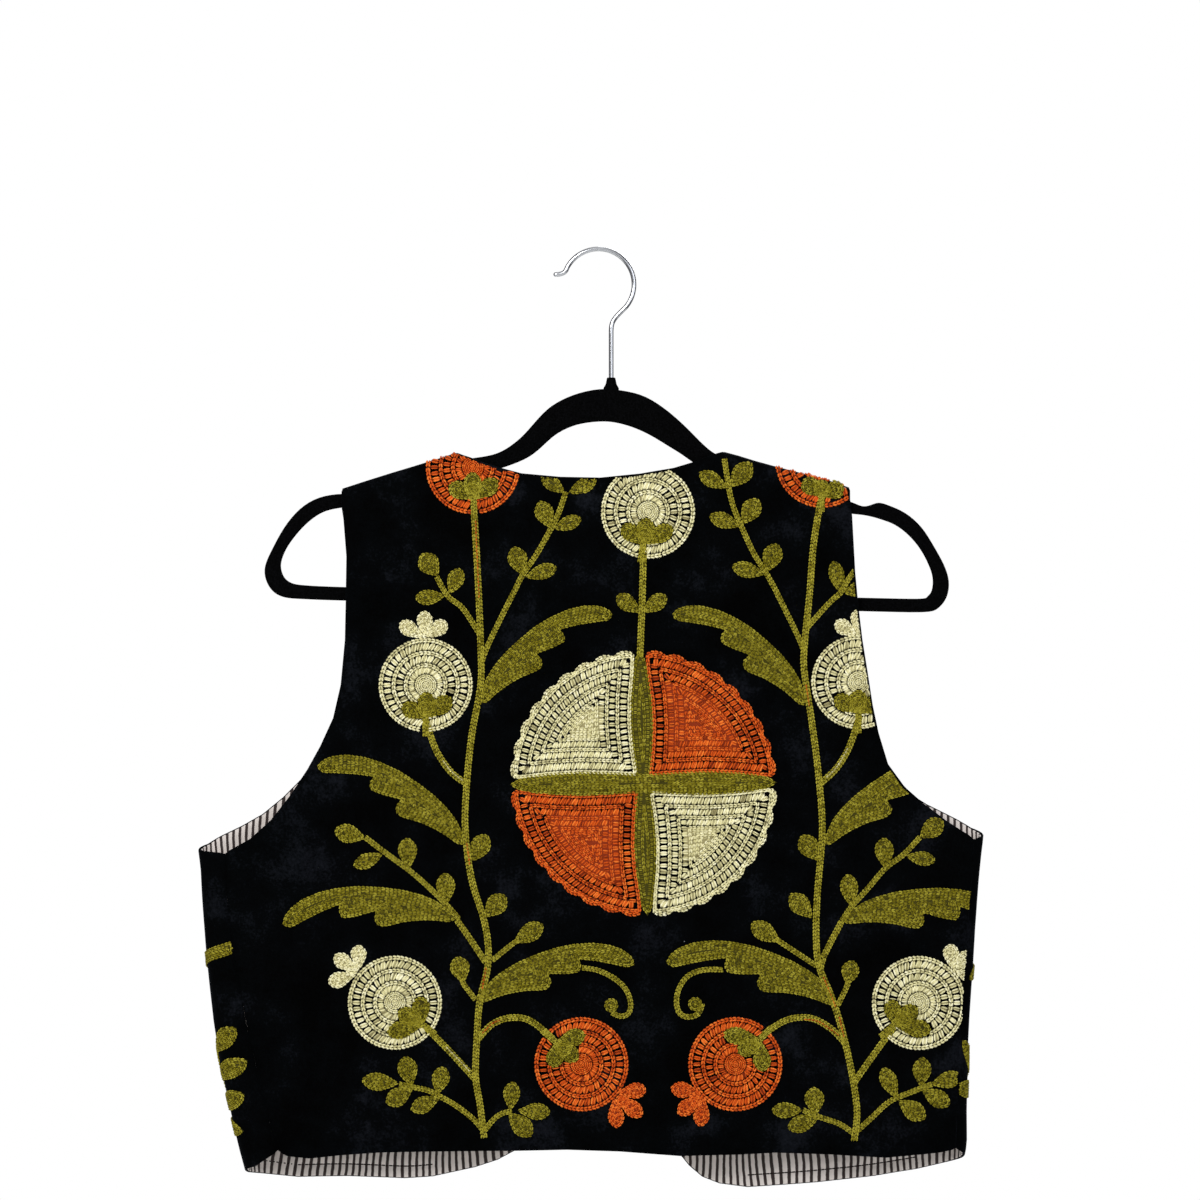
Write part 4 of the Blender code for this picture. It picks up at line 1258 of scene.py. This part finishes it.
# The three main stems and the branches that run into them, in units.
MAIN_STEMS = (
    ((473.8, 502), (477, 557.6), (479.6, 608.6), (480.9, 646.8), (480.9, 685), (471.9, 736), (466.8, 787),
     (465.6, 830), (471.8, 878), (484.5, 920), (488.7, 948), (487.3, 971), (480.3, 999), (477.5, 1032.6),
     (476, 1074.6), (480.3, 1102.7), (484.5, 1136.4)),
    ((821.6, 495), (813.5, 544), (809.2, 596), (804.1, 646.8), (804.1, 672), (811.7, 723), (818.1, 774),
     (821.9, 830), (817, 892), (815.7, 934), (818.5, 965), (829.8, 993), (836.8, 1013), (845.2, 1044),
     (852.2, 1077.5), (856.4, 1111), (853.6, 1139)),
    ((643.4, 557.6), (642, 606), (640, 657)),
)
BRANCH_STEMS = (
    ((426, 719), (436, 749), (451.5, 772), (468, 784)), ((859, 716), (850, 744), (837, 767), (819, 784)),
    ((426, 1026), (449.4, 1049.4), (476.5, 1079)), ((893, 1026), (871.8, 1055), (853, 1082)),
    ((554, 1039), (547.6, 1032.6), (528, 1018.5), (508.3, 1017), (491.5, 1024), (477.5, 1039)),
    ((762, 1036), (768, 1029.7), (787.7, 1018.5), (810, 1017), (829.8, 1027), (844, 1041.5)),
    ((643.4, 546), (643.4, 560)),
)


def main_stems(work):
    """The stems that carry everything else."""
    for path in MAIN_STEMS:
        work.stem(at(*path), pitch=2.15)
    for path in BRANCH_STEMS:
        work.stem(at(*path), pitch=2.1)


# Stretches where another thread shows between the two rows of a stem, in units.
TINGES = (
    ("orange", (475.6, 520), (477.6, 560), (479.4, 598)), ("orange", (467, 842), (470, 864)),
    ("orange", (486.5, 966), (482.5, 988)), ("orange", (482, 1033), (491.5, 1023), (500, 1019)),
    ("orange", (805.5, 684), (809, 706)), ("orange", (822.5, 975), (829.8, 992), (835, 1006)),
    ("orange", (838.5, 1015), (843.5, 1036)), ("orange", (803, 1018.5), (818, 1020.5), (838, 1034)),
    ("cream", (443, 760), (452, 771.5), (463, 780)), ("cream", (446, 1045), (470, 1070)),
    ("cream", (848, 747), (837, 766), (826, 777)),
)


def tinges(work):
    """A thin row in another colour between the rows of a stem."""
    for colour, *points in TINGES:
        work.chain(colour, rounded(at(*points), steps=8), 0.9, 0.4, 0.3, STEM_LINK)


# In units: the long leaves from base to tip, the stems of the two that reach furthest out, and the curls,
# each with its dot.
BACK_LEAVES = (
    ((481, 704), (613.5, 614.6)), ((464.8, 845), (317, 767)), ((457, 919), (283.4, 925)),
    ((478, 1001), (635, 963)), ((805, 706), (671.4, 614.6)), ((824, 845), (969, 768)),
    ((841, 921), (1016, 927)), ((836.8, 1004), (665.6, 962.4)),
)
LEAF_STEMS = (((457, 919), (471.4, 939.5), (485.5, 960.6)), ((841, 921), (824, 954), (820, 968)))
CURLS = (
    (((581.6, 966.8), (598.3, 969.6), (615.1, 978), (626.3, 989.2), (630.7, 1002.5), (628.5, 1012.6),
      (620.7, 1015.4), (611.7, 1011.5)), (611.2, 1004.2)),
    (((723, 969), (703.5, 969), (686.6, 976), (677, 993), (678, 1010), (686.6, 1016), (698, 1013),
      (702, 1003)), (695, 1003)),
)


def back_leaves(work):
    """The eight long leaves, two of them on stems of their own."""
    for base, tip in BACK_LEAVES:
        leaf(work, *at(base, tip))
    for path in LEAF_STEMS:
        work.stem(at(*path))


def curls(work):
    """The two scrolls, each round a dot."""
    for path, dot in CURLS:
        work.stem(at(*path), pitch=1.7)
        work.fill("olive", ring(np.array(mm(*dot)), 4.6, 20), 0.2)


# Fruit on the back, in units: (colour, centre, petal tips, petal base, calyx lobes, calyx base).
FRUIT = (
    ("orange", (473, 467.5), (), (473, 420), ((455, 488), (472.5, 478.6), (492, 484.5)), (474, 500)),
    ("orange", (822, 461), (), (822, 415), ((807, 484), (821, 484.5), (838.5, 489)), (821.5, 497)),
    ("cream", (648, 512), (), (648, 466), ((627, 529.5), (646, 524), (666, 531)), (643, 545)),
    ("cream", (426, 685), ((401, 623), (424.7, 612), (446, 622)), (426, 640),
     ((408, 708), (427, 698), (446, 702)), (426, 718)),
    ("cream", (858, 682), ((836, 622), (858, 610), (879, 620)), (858, 638),
     ((840, 700), (858, 695), (876, 703)), (858, 713)),
    ("cream", (395.5, 1001.7), ((359, 945), (336, 955), (330, 982)), (360, 972),
     ((421, 1002), (404.5, 1013), (396, 1030)), (424, 1024)),
    ("cream", (918, 1002), ((950, 944), (970, 953), (982, 980)), (950, 970),
     ((891.5, 1004.5), (911, 1010), (922, 1028)), (893, 1024)),
    ("orange", (581.5, 1063), ((645, 1088), (641, 1114), (617, 1125)), (614, 1092),
     ((578.5, 1035), (573, 1055), (554.6, 1060.6)), (556, 1041)),
    ("orange", (735, 1063), ((672, 1087), (679, 1112), (700, 1124)), (704, 1092),
     ((731.5, 1034), (743, 1049), (762, 1063)), (759.6, 1038)),
)


def fruit(work):
    """The back's pomegranates."""
    for colour, centre, petals, petal_base, lobes, lobe_base in FRUIT:
        middle, crown_base, calyx_base = at(centre, petal_base, lobe_base)
        pomegranate(work, colour, middle, list(at(*petals)), crown_base, list(at(*lobes)), calyx_base)


# Sprigs on the back, in units: (stem, leaves), a leaf being (root x, root y, tip x, tip y, width).
SPRIGS = (
    (((479.5, 634), (463.3, 608.7), (448.7, 597), (440.6, 583.8), (437, 577)),
     ((439, 577, 421.5, 553.7, 21.5), (449.4, 595, 461, 567.6, 17), (447, 596, 414.6, 598.4, 15.5))),
    (((480.5, 666), (487, 648), (500, 620.4), (514.7, 591), (522, 576.4), (536.7, 554.4), (549.9, 531),
      (558.7, 513.3), (566, 492)),
     ((522.8, 576, 514, 546.4, 20), (523.5, 578, 558, 566.9, 15.5), (550.6, 529, 539.6, 500.9, 19),
      (552, 530, 582.2, 517.7, 14.7), (566, 494, 541, 475, 15), (567, 494, 597, 479.5, 15))),
    (((805, 655), (799, 639), (786, 612), (770, 580), (754, 554), (741, 526), (733, 506), (728.5, 487),
      (726, 470), (724.4, 459)),
     ((766, 575, 731, 566, 16), (766, 573, 777, 543, 20), (742, 527, 708.4, 515.6, 16),
      (742, 525, 758, 498.5, 20), (728.5, 489, 698.4, 472.5, 16), (729, 488, 751.5, 463, 20))),
    (((806.5, 628), (828, 604), (841, 592), (847, 581), (858, 566)),
     ((841, 595, 833, 560, 15.5), (842, 593, 868, 587, 15))),
    (((459.6, 918.8), (448.8, 906.2), (429, 886.4), (409.2, 869.3), (385.8, 852.2), (366, 837)),
     ((367, 838, 334.5, 829.5, 19), (385, 853, 353.5, 866, 15.3), (409.2, 869, 407.2, 836.5, 19),
      (447.5, 904, 445.2, 871.5, 19))),
    (((840, 922.4), (850.8, 906.2), (867, 888.2), (885, 867.5), (903, 854), (919.2, 836.9)),
     ((918.3, 838, 942.8, 819.5, 19.8), (903.5, 855, 935.6, 860.3, 14.4), (884.5, 868.5, 883, 836.5, 19),
      (851, 907, 847, 872.5, 18))),
    (((484, 1130), (474, 1118), (456, 1104), (440, 1095), (428, 1089), (414, 1086), (400, 1083)),
     ((437.5, 1094, 444, 1064.5, 18), (441, 1096, 411, 1109, 17), (412.5, 1086, 405, 1054.5, 20),
      (414, 1087, 386.5, 1102.5, 19), (401, 1082.5, 361.5, 1079, 18))),
    (((484.5, 1130), (494, 1118), (503, 1112), (512, 1110)),
     ((510.5, 1110, 513, 1079.5, 17), (517, 1109.5, 551.5, 1110.5, 17), (508, 1111, 532.5, 1135, 20))),
    (((853, 1132), (840, 1123), (826, 1118), (817, 1115), (803, 1109)),
     ((815, 1114.5, 813, 1085.5, 20), (820, 1115.5, 786.5, 1127.5, 17.5), (804, 1109, 770.5, 1109, 16))),
    (((854, 1132), (870, 1117), (886, 1102), (898, 1095.5), (920, 1087), (931, 1083)),
     ((896.5, 1098, 881.5, 1065.5, 17), (896.5, 1098.5, 925, 1117.5, 19.5), (920, 1086.5, 922, 1055.5, 19),
      (920, 1088, 949.5, 1104, 18), (929, 1083.5, 962, 1074.5, 17))),
)
# Leaves that grow from a stem like those of the sprigs, and leaves on a short stalk, in units: (stalk's
# root, root, tip, width).
SINGLE_LEAVES = (
    (641, 613, 616, 595, 17), (642.5, 613, 667, 595, 17), (471.5, 862, 487.5, 833.5, 20),
    (484.5, 917, 506, 894, 20.5), (818.5, 861, 800.5, 834.5, 20.5), (812.5, 918, 789.5, 893, 20),
)
STALKED_LEAVES = (
    ((492, 960), (513, 943), (544, 923), 19), ((816, 965), (781, 942), (750, 922), 19),
    ((476, 999), (464, 983), (457.5, 955), 19.8), ((837, 1005), (846.5, 985), (852, 959), 18),
)


def sprigs(work):
    """Thin stems with small leaves, and the small leaves of the main stems."""
    for path, leaves in SPRIGS:
        work.stem(at(*path), pitch=SPRIG_PITCH)
        for x, y, tip_x, tip_y, width in leaves:
            bud(work, *at((x, y), (tip_x, tip_y)), width * UNIT)
    for x, y, tip_x, tip_y, width in SINGLE_LEAVES:
        bud(work, *at((x, y), (tip_x, tip_y)), width * UNIT)
    for *points, width in STALKED_LEAVES:
        start, root, tip = at(*points)
        work.stem(np.array([start, root, root + (tip - root) * 0.2]), pitch=1.7)
        bud(work, root, tip, width * UNIT)


ROUNDEL_MIDLINE = (643, 0)  # each colour of the back is two pieces, parted here


def back_embroidery():
    """The back's work, drawn stem by stem and then fruit over the stems."""
    work = Embroidery("back", BACK, BACK_OUTLINE)
    main_stems(work)
    tinges(work)
    back_leaves(work)
    curls(work)
    sprigs(work)
    roundel(work)
    fruit(work)
    work.build(split=(mm(*ROUNDEL_MIDLINE)[0],))


FRONT_MIDDLE = 587.0  # the line between the two fronts, in units; the right front's work mirrors the left's

# The left front's work, in units.
FRONT_STEMS = (
    ((430, 1150), (433, 1090), (424, 1020), (416, 940), (420, 860), (430, 780), (426, 700), (412, 640),
     (403.5, 588)),
    ((424, 1024), (392, 1010), (345, 1008), (292, 1002)), ((432, 1134), (444, 1124), (453, 1108)),
    ((417, 915), (398, 898), (374, 871)),
)
FRONT_LEAVES = (((419, 905), (524, 836)), ((418, 968), (272, 930)), ((426, 1042), (522, 988)))
FRONT_SPRIGS = (
    (((429, 800), (460, 762), (486, 716)), ((444, 752), (478, 762), (470, 712), (500, 727), (492, 692))),
    (((428, 745), (400, 706), (382, 668)), ((378, 712), (410, 680), (376, 646))),
    (((422, 690), (446, 652), (456, 612)), ((430, 642), (463, 655), (460, 590))),
    (((431, 1146), (392, 1126), (345, 1117), (296, 1116)),
     ((400, 1108), (372, 1136), (352, 1100), (318, 1133))),
)
FRONT_FRUIT = (
    ("cream", (402, 556), (), (402, 520), ((386, 571), (402, 565), (418, 571)), (403, 586), 24),
    ("cream", (346, 846), ((306, 796), (294, 812), (292, 832)), (318, 818),
     ((372, 846), (356, 858), (347, 874)), (374, 869), 26),
    ("orange", (474, 1086), ((461, 1034), (477, 1027), (494, 1035)), (477, 1049),
     ((456, 1085), (467, 1097), (470, 1113)), (452, 1107), 22.5),
)
# What comes round the left side fold to the seam, in units as seen from behind.
ROUND_LEFT_LEAF = ((207, 951), (233.2, 940.2), (234.6, 952.5), (208.5, 963.2))  # its square end
ROUND_LEFT_BUDS = ((229, 1034), (238, 1064), (236, 1097), (236, 1128))
ROUND_RIGHT_LEAF = (968, 978)  # its tip
ROUND_RIGHT_BUDS = ((966, 1049), (962, 1088))
# Where those leaves and the sprig of those buds start on the front, in units.
LEFT_LEAF_START = ((294, 1003), (270, 972))
LEFT_LEAF_END = (264, 992)
RIGHT_LEAF_START = (292, 1002)
ROUND_SPRIG = ((296, 1116), (272, 1114))
BUD_STALK = 18.0  # how far inward of its buds the sprig runs, mm


def front_embroidery(name, outline, seam_side):
    """One front: a stem with leaves and fruit beside the opening, and work that runs round the side fold."""
    work = Embroidery(name, FRONT, outline)

    def spot(x, y):
        """A point of the left front, mirrored on the right one."""
        return np.array(mm(x if seam_side < 0 else 2.0 * FRONT_MIDDLE - x, y))

    def spots(rows):
        return np.array([spot(*row) for row in rows])

    def round_side(rows):
        """Points seen from behind, where the front comes round the side fold."""
        return np.array([on_side(*row, True, seam_side) for row in rows])

    for path in FRONT_STEMS:
        work.stem(spots(path), pitch=2.1)
    for base, tip in FRONT_LEAVES:
        leaf(work, spot(*base), spot(*tip))
    for path, leaves in FRONT_SPRIGS:
        sprig(work, spots(path), spots(leaves))
    for colour, centre, petals, petal_base, lobes, lobe_base, radius in FRONT_FRUIT:
        pomegranate(work, colour, spot(*centre), list(spots(petals)), spot(*petal_base),
                    list(spots(lobes)), spot(*lobe_base), radius)
    if seam_side < 0:
        square_end = round_side(ROUND_LEFT_LEAF)
        work.fill("olive", np.vstack([spots(LEFT_LEAF_START), square_end, spot(*LEFT_LEAF_END)]))
        buds = round_side(ROUND_LEFT_BUDS)
    else:
        leaf(work, spot(*RIGHT_LEAF_START), round_side([ROUND_RIGHT_LEAF])[0])
        buds = round_side(ROUND_RIGHT_BUDS)
    inward = -seam_side * BUD_STALK
    turn = buds[-1] + np.array([inward, 0.3 * BUD_STALK])
    end = buds[0] + np.array([inward, -0.5 * BUD_STALK])
    sprig(work, np.vstack([spots(ROUND_SPRIG), turn, end]), buds)
    work.build()


back_embroidery()
front_embroidery("front_left", FRONT_LEFT_OUTLINE, -1)
front_embroidery("front_right", FRONT_RIGHT_OUTLINE, 1)


# Hanger and hook

# Round the body from the middle of its arch: (outer x, outer y, inner x, inner y), in units.
HANGER = (
    (600, 388.8, 600, 421.5), (623, 390.6, 615, 422.5), (646, 396.5, 632, 427), (669, 411.8, 650, 435),
    (688, 429, 668, 446), (703, 444.3, 684, 455.8), (716.7, 455, 700, 467), (738, 462.5, 732, 477),
    (774.7, 475, 770, 490), (811.4, 488, 806, 503), (850.2, 501.4, 846, 513), (862.4, 506.5, 858, 514.5),
    (870.6, 505.1, 865.5, 515.5), (878.8, 502.4, 873.7, 517.3), (889, 505.5, 884, 520.5),
    (905.3, 512.7, 895.1, 524.9), (921.6, 526.9, 908, 534.5), (933.9, 546.3, 920, 548.5),
    (944.1, 564.7, 928.5, 564.5), (949.2, 581, 932.9, 578), (947.1, 597.3, 931.8, 591.2),
    (938, 608.6, 927, 596.5), (923.7, 612.7, 920, 599), (859.4, 611.2, 859, 597.6), (728, 608.6, 728, 595),
    (600, 606, 600, 592.4), (472, 603.4, 472, 589.8), (344.5, 600.8, 344.5, 587.2),
    (303.6, 599.2, 303, 585.2), (284.2, 597.7, 292, 583.2), (272.5, 591.4, 285.5, 579),
    (265.7, 579.8, 282, 572.5), (264.7, 566.2, 280.9, 563), (272.5, 548.7, 286.1, 549),
    (284.2, 527.3, 296.8, 534), (299.7, 508.8, 309.5, 521), (319, 497.2, 325, 511),
    (342.5, 493.6, 344, 507.5), (352, 495, 354, 505.5), (363.9, 487.5, 368, 501), (391.2, 478.6, 396, 493),
    (414.5, 471.6, 419, 486), (441.7, 463.6, 447, 478), (470.7, 458.4, 474, 473), (485, 456.4, 490, 471.3),
    (501.3, 451.9, 507, 466.5), (520.4, 438.5, 530, 457), (535.7, 421.3, 546, 443), (551, 406, 558, 433),
    (574, 394.5, 577, 424.5),
)
HANGER_HALF = 2.5  # half its thickness, mm
NECK_X = 8.25  # the wire's stem and the collar round it, mm
# The collar's rows: (height, x radius, y radius); the last three turn in to the wire.
COLLAR = (
    (-96, 5.2, 2.3), (-89, 5, 2.4), (-86.5, 3.6, 2.75), (-82.4, 2.75, 2.75), (-82.1, 2.3, 2.3),
    (-82.3, 1.75, 1.75), (-84, 1.65, 1.65),
)
COLLAR_SIDES = 32
WIRE_RADIUS = 1.55
HOOK_TIP = ((-27.8, -15.1), (-25.2, -14.9), (-22.6, -14), (-20.8, -12.2))
HOOK_CIRCLE = (0, -21.58, 23.1)  # (x, z, radius), mm
HOOK_ARC = (152, -40)  # degrees, from the tip's side over the crown
HOOK_STEM = ((13.6, -40.4), (10.6, -43.8), (8.8, -47.2), (8.3, -51.0), (NECK_X, -56.0), (NECK_X, -91.5))
WIRE_TIP = ((1.45, 0.35), (1.15, 0.98), (0.6, 1.4))  # its rounded end: (distance past the path, radius)
TIP_START = 1.52  # the radius where the rounding starts
WIRE_SIDES = 20
SECTION_SIDES = 20
FACE_TURN = 0.18  # the cosine under which a side of the section lies on a flat face


def tube(rings, sides, closed=False):
    """Faces between rings of points; an open tube has a face at either end."""
    faces = []
    for i in range(rings if closed else rings - 1):
        a, b = i * sides, (i + 1) % rings * sides
        for k in range(sides):
            n = (k + 1) % sides
            faces.append((a + k, a + n, b + n, b + k))
    if not closed:
        faces.append(tuple(reversed(range(sides))))
        faces.append(tuple((rings - 1) * sides + k for k in range(sides)))
    return faces


def softened(run):
    """A closed run of points, each moved halfway to the middle of its neighbours."""
    return run / 2.0 + (np.roll(run, 1, axis=0) + np.roll(run, -1, axis=0)) / 4.0


def hanger_body():
    """The flocked body: a flat bar with softly rounded edges, carried round its closed outline."""
    outer = rounded([mm(row[0], row[1]) for row in HANGER], True, 4)
    inner = rounded([mm(row[2], row[3]) for row in HANGER], True, 4)
    for _ in range(3):
        outer, inner = softened(outer), softened(inner)
    points = []
    for a, b in zip(outer, inner):
        middle, across = (a + b) / 2.0, (a - b) / 2.0
        width = np.hypot(*across)
        across = across / width
        for k in range(SECTION_SIDES):
            turn = math.tau * (k + 0.5) / SECTION_SIDES
            c, s = math.cos(turn), math.sin(turn)
            flat = max(0.0, width - HANGER_HALF) + HANGER_HALF * abs(c) ** 0.8
            reach = c / FACE_TURN * max(0.0, width - HANGER_HALF)
            if abs(c) > FACE_TURN:
                reach = math.copysign(min(width, flat), c)
            y = math.copysign(HANGER_HALF * min(1.0, abs(s) ** 0.55), s)
            point = middle + across * reach
            points.append((point[0], y, point[1]))
    faces = tube(len(outer), SECTION_SIDES, True)
    made = make_mesh("flocked_hanger", np.array(points) * MM, faces, flock)
    outward_faces(made)
    return made


def hanger_collar():
    """The short collar that the wire comes out of, with a narrow gap round the wire."""
    turns = [math.tau * k / COLLAR_SIDES for k in range(COLLAR_SIDES)]
    points = [
        (NECK_X + x_radius * math.cos(turn), y_radius * math.sin(turn), z)
        for z, x_radius, y_radius in COLLAR for turn in turns
    ]
    return make_mesh("hanger_collar", np.array(points) * MM, tube(len(COLLAR), COLLAR_SIDES), flock)


def wire_hook():
    """The bent wire, with a rounded tip."""
    cx, cz, bend = HOOK_CIRCLE
    turns = np.radians(np.linspace(*HOOK_ARC, 49))
    arc = np.stack([cx + bend * np.cos(turns), cz + bend * np.sin(turns)], axis=1)
    path = np.vstack([rounded(HOOK_TIP, False, 4)[:-1], arc, rounded(HOOK_STEM, False, 6)])
    path = resampled(path, 1.1)
    along = np.gradient(path, axis=0)
    along /= np.hypot(*along.T)[:, None]
    past, narrow = np.array(WIRE_TIP).T
    stations = np.vstack([path[0] - along[0] * past[:, None], path])
    radii = np.concatenate([narrow, [TIP_START], np.full(len(path) - 1, WIRE_RADIUS)])
    along = np.vstack([along[:1]] * len(WIRE_TIP) + [along])
    points = []
    for (x, z), (ax, az), radius in zip(stations, along, radii):
        for k in range(WIRE_SIDES):
            turn = math.tau * k / WIRE_SIDES
            c, s = math.cos(turn) * radius, math.sin(turn) * radius
            points.append((x - az * c, s, z + ax * c))
    faces = tube(len(stations), WIRE_SIDES)
    made = make_mesh("chromed_hook", np.array(points) * MM, faces, chrome)
    outward_faces(made)
    return made


for piece, replaced, slot in (
    (hanger_body(), "hanger", "flock"),
    (hanger_collar(), "hanger", "flock"),
    (wire_hook(), "hook", "chrome"),
):
    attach(piece, "root")
    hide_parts(replaced)


# Stage, light and camera

# The room that the chrome mirrors, from left to right.
ROOM_BANDS = (
    (0.0, "#7c7c7e"), (0.2, "#505054"), (0.36, "#a4a4a6"), (0.5, "#e0e0e2"), (0.64, "#b4b4b6"),
    (0.8, "#46464a"), (1.0, "#808082"),
)


def stage():
    """A plain pale studio floor, far enough below to stay out of the photograph's view."""
    material = new_material("studio_floor", Roughness=0.9, Base_Color=linear("#e9e9e7"))[0]
    bpy.ops.mesh.primitive_cylinder_add(vertices=96, radius=1.3, depth=0.02, location=(0.0, 0.0, -0.96))
    floor = bpy.context.object
    floor.name = "studio_floor"
    floor.data.materials.append(material)


def studio_world():
    """White behind the vest, and in reflections a room of light and dark bands that the chrome mirrors."""
    world = bpy.data.worlds.new("studio")
    bpy.context.scene.world = world
    world.use_nodes = True
    tree = world.node_tree
    tree.nodes.clear()
    add, join = tree.nodes.new, tree.links.new
    shades = {}
    for name, colour, strength in (
        ("seen", "#ffffff", 1.0), ("room", "#e4e6ea", 0.5), ("mirrored", "#ffffff", 1.0),
    ):
        shades[name] = add("ShaderNodeBackground")
        shades[name].inputs["Color"].default_value = linear(colour)
        shades[name].inputs["Strength"].default_value = strength
    axes = add("ShaderNodeSeparateXYZ")
    join(add("ShaderNodeTexCoord").outputs["Generated"], axes.inputs[0])
    bands = add("ShaderNodeValToRGB")
    set_stops(bands, ROOM_BANDS)
    spread = add("ShaderNodeMapRange")
    spread.inputs["From Min"].default_value = -1.0
    join(axes.outputs["X"], spread.inputs["Value"])
    join(spread.outputs["Result"], bands.inputs["Fac"])
    join(bands.outputs["Color"], shades["mirrored"].inputs["Color"])
    path, glossy, seen = add("ShaderNodeLightPath"), add("ShaderNodeMixShader"), add("ShaderNodeMixShader")
    join(path.outputs["Is Glossy Ray"], glossy.inputs["Fac"])
    join(shades["room"].outputs[0], glossy.inputs[1])
    join(shades["mirrored"].outputs[0], glossy.inputs[2])
    join(path.outputs["Is Camera Ray"], seen.inputs["Fac"])
    join(glossy.outputs[0], seen.inputs[1])
    join(shades["seen"].outputs[0], seen.inputs[2])
    join(seen.outputs[0], add("ShaderNodeOutputWorld").inputs["Surface"])


def area_light(name, place, aim, size, power, colour="#ffffff"):
    """A soft box that shines from its place at what it aims at."""
    light = bpy.data.lights.new(name, "AREA")
    light.shape = "RECTANGLE"
    light.size, light.size_y = size
    light.energy = power
    light.color = linear(colour)[:3]
    made = bpy.data.objects.new(name, light)
    bpy.context.scene.collection.objects.link(made)
    made.location = place
    made.rotation_euler = (Vector(aim) - Vector(place)).to_track_quat("-Z", "Y").to_euler()


CAMERA_PLACE = (0.001, -5.417, -0.2267)
FOCAL_LENGTH = 250.0
SENSOR_WIDTH = 36.0


def camera():
    """The photograph's view, from straight behind the vest."""
    lens = bpy.data.cameras.new("photo_view")
    lens.lens = FOCAL_LENGTH
    lens.sensor_width = SENSOR_WIDTH
    made = bpy.data.objects.new("photo_view", lens)
    bpy.context.scene.collection.objects.link(made)
    made.location = CAMERA_PLACE
    made.rotation_euler = (math.radians(90.0), 0.0, 0.0)
    bpy.context.scene.camera = made


stage()
studio_world()
area_light("key", (-0.75, -1.5, 0.55), (0.0, 0.0, -0.3), (0.9, 0.9), 26.0)
area_light("fill", (1.1, -1.5, 0.1), (0.0, 0.0, -0.35), (1.0, 1.2), 10.0, "#f4f7ff")
area_light("rear", (0.5, 1.5, 0.7), (0.0, 0.0, -0.3), (1.0, 1.0), 18.0)
camera()
bpy.context.scene.view_settings.view_transform = "Standard"
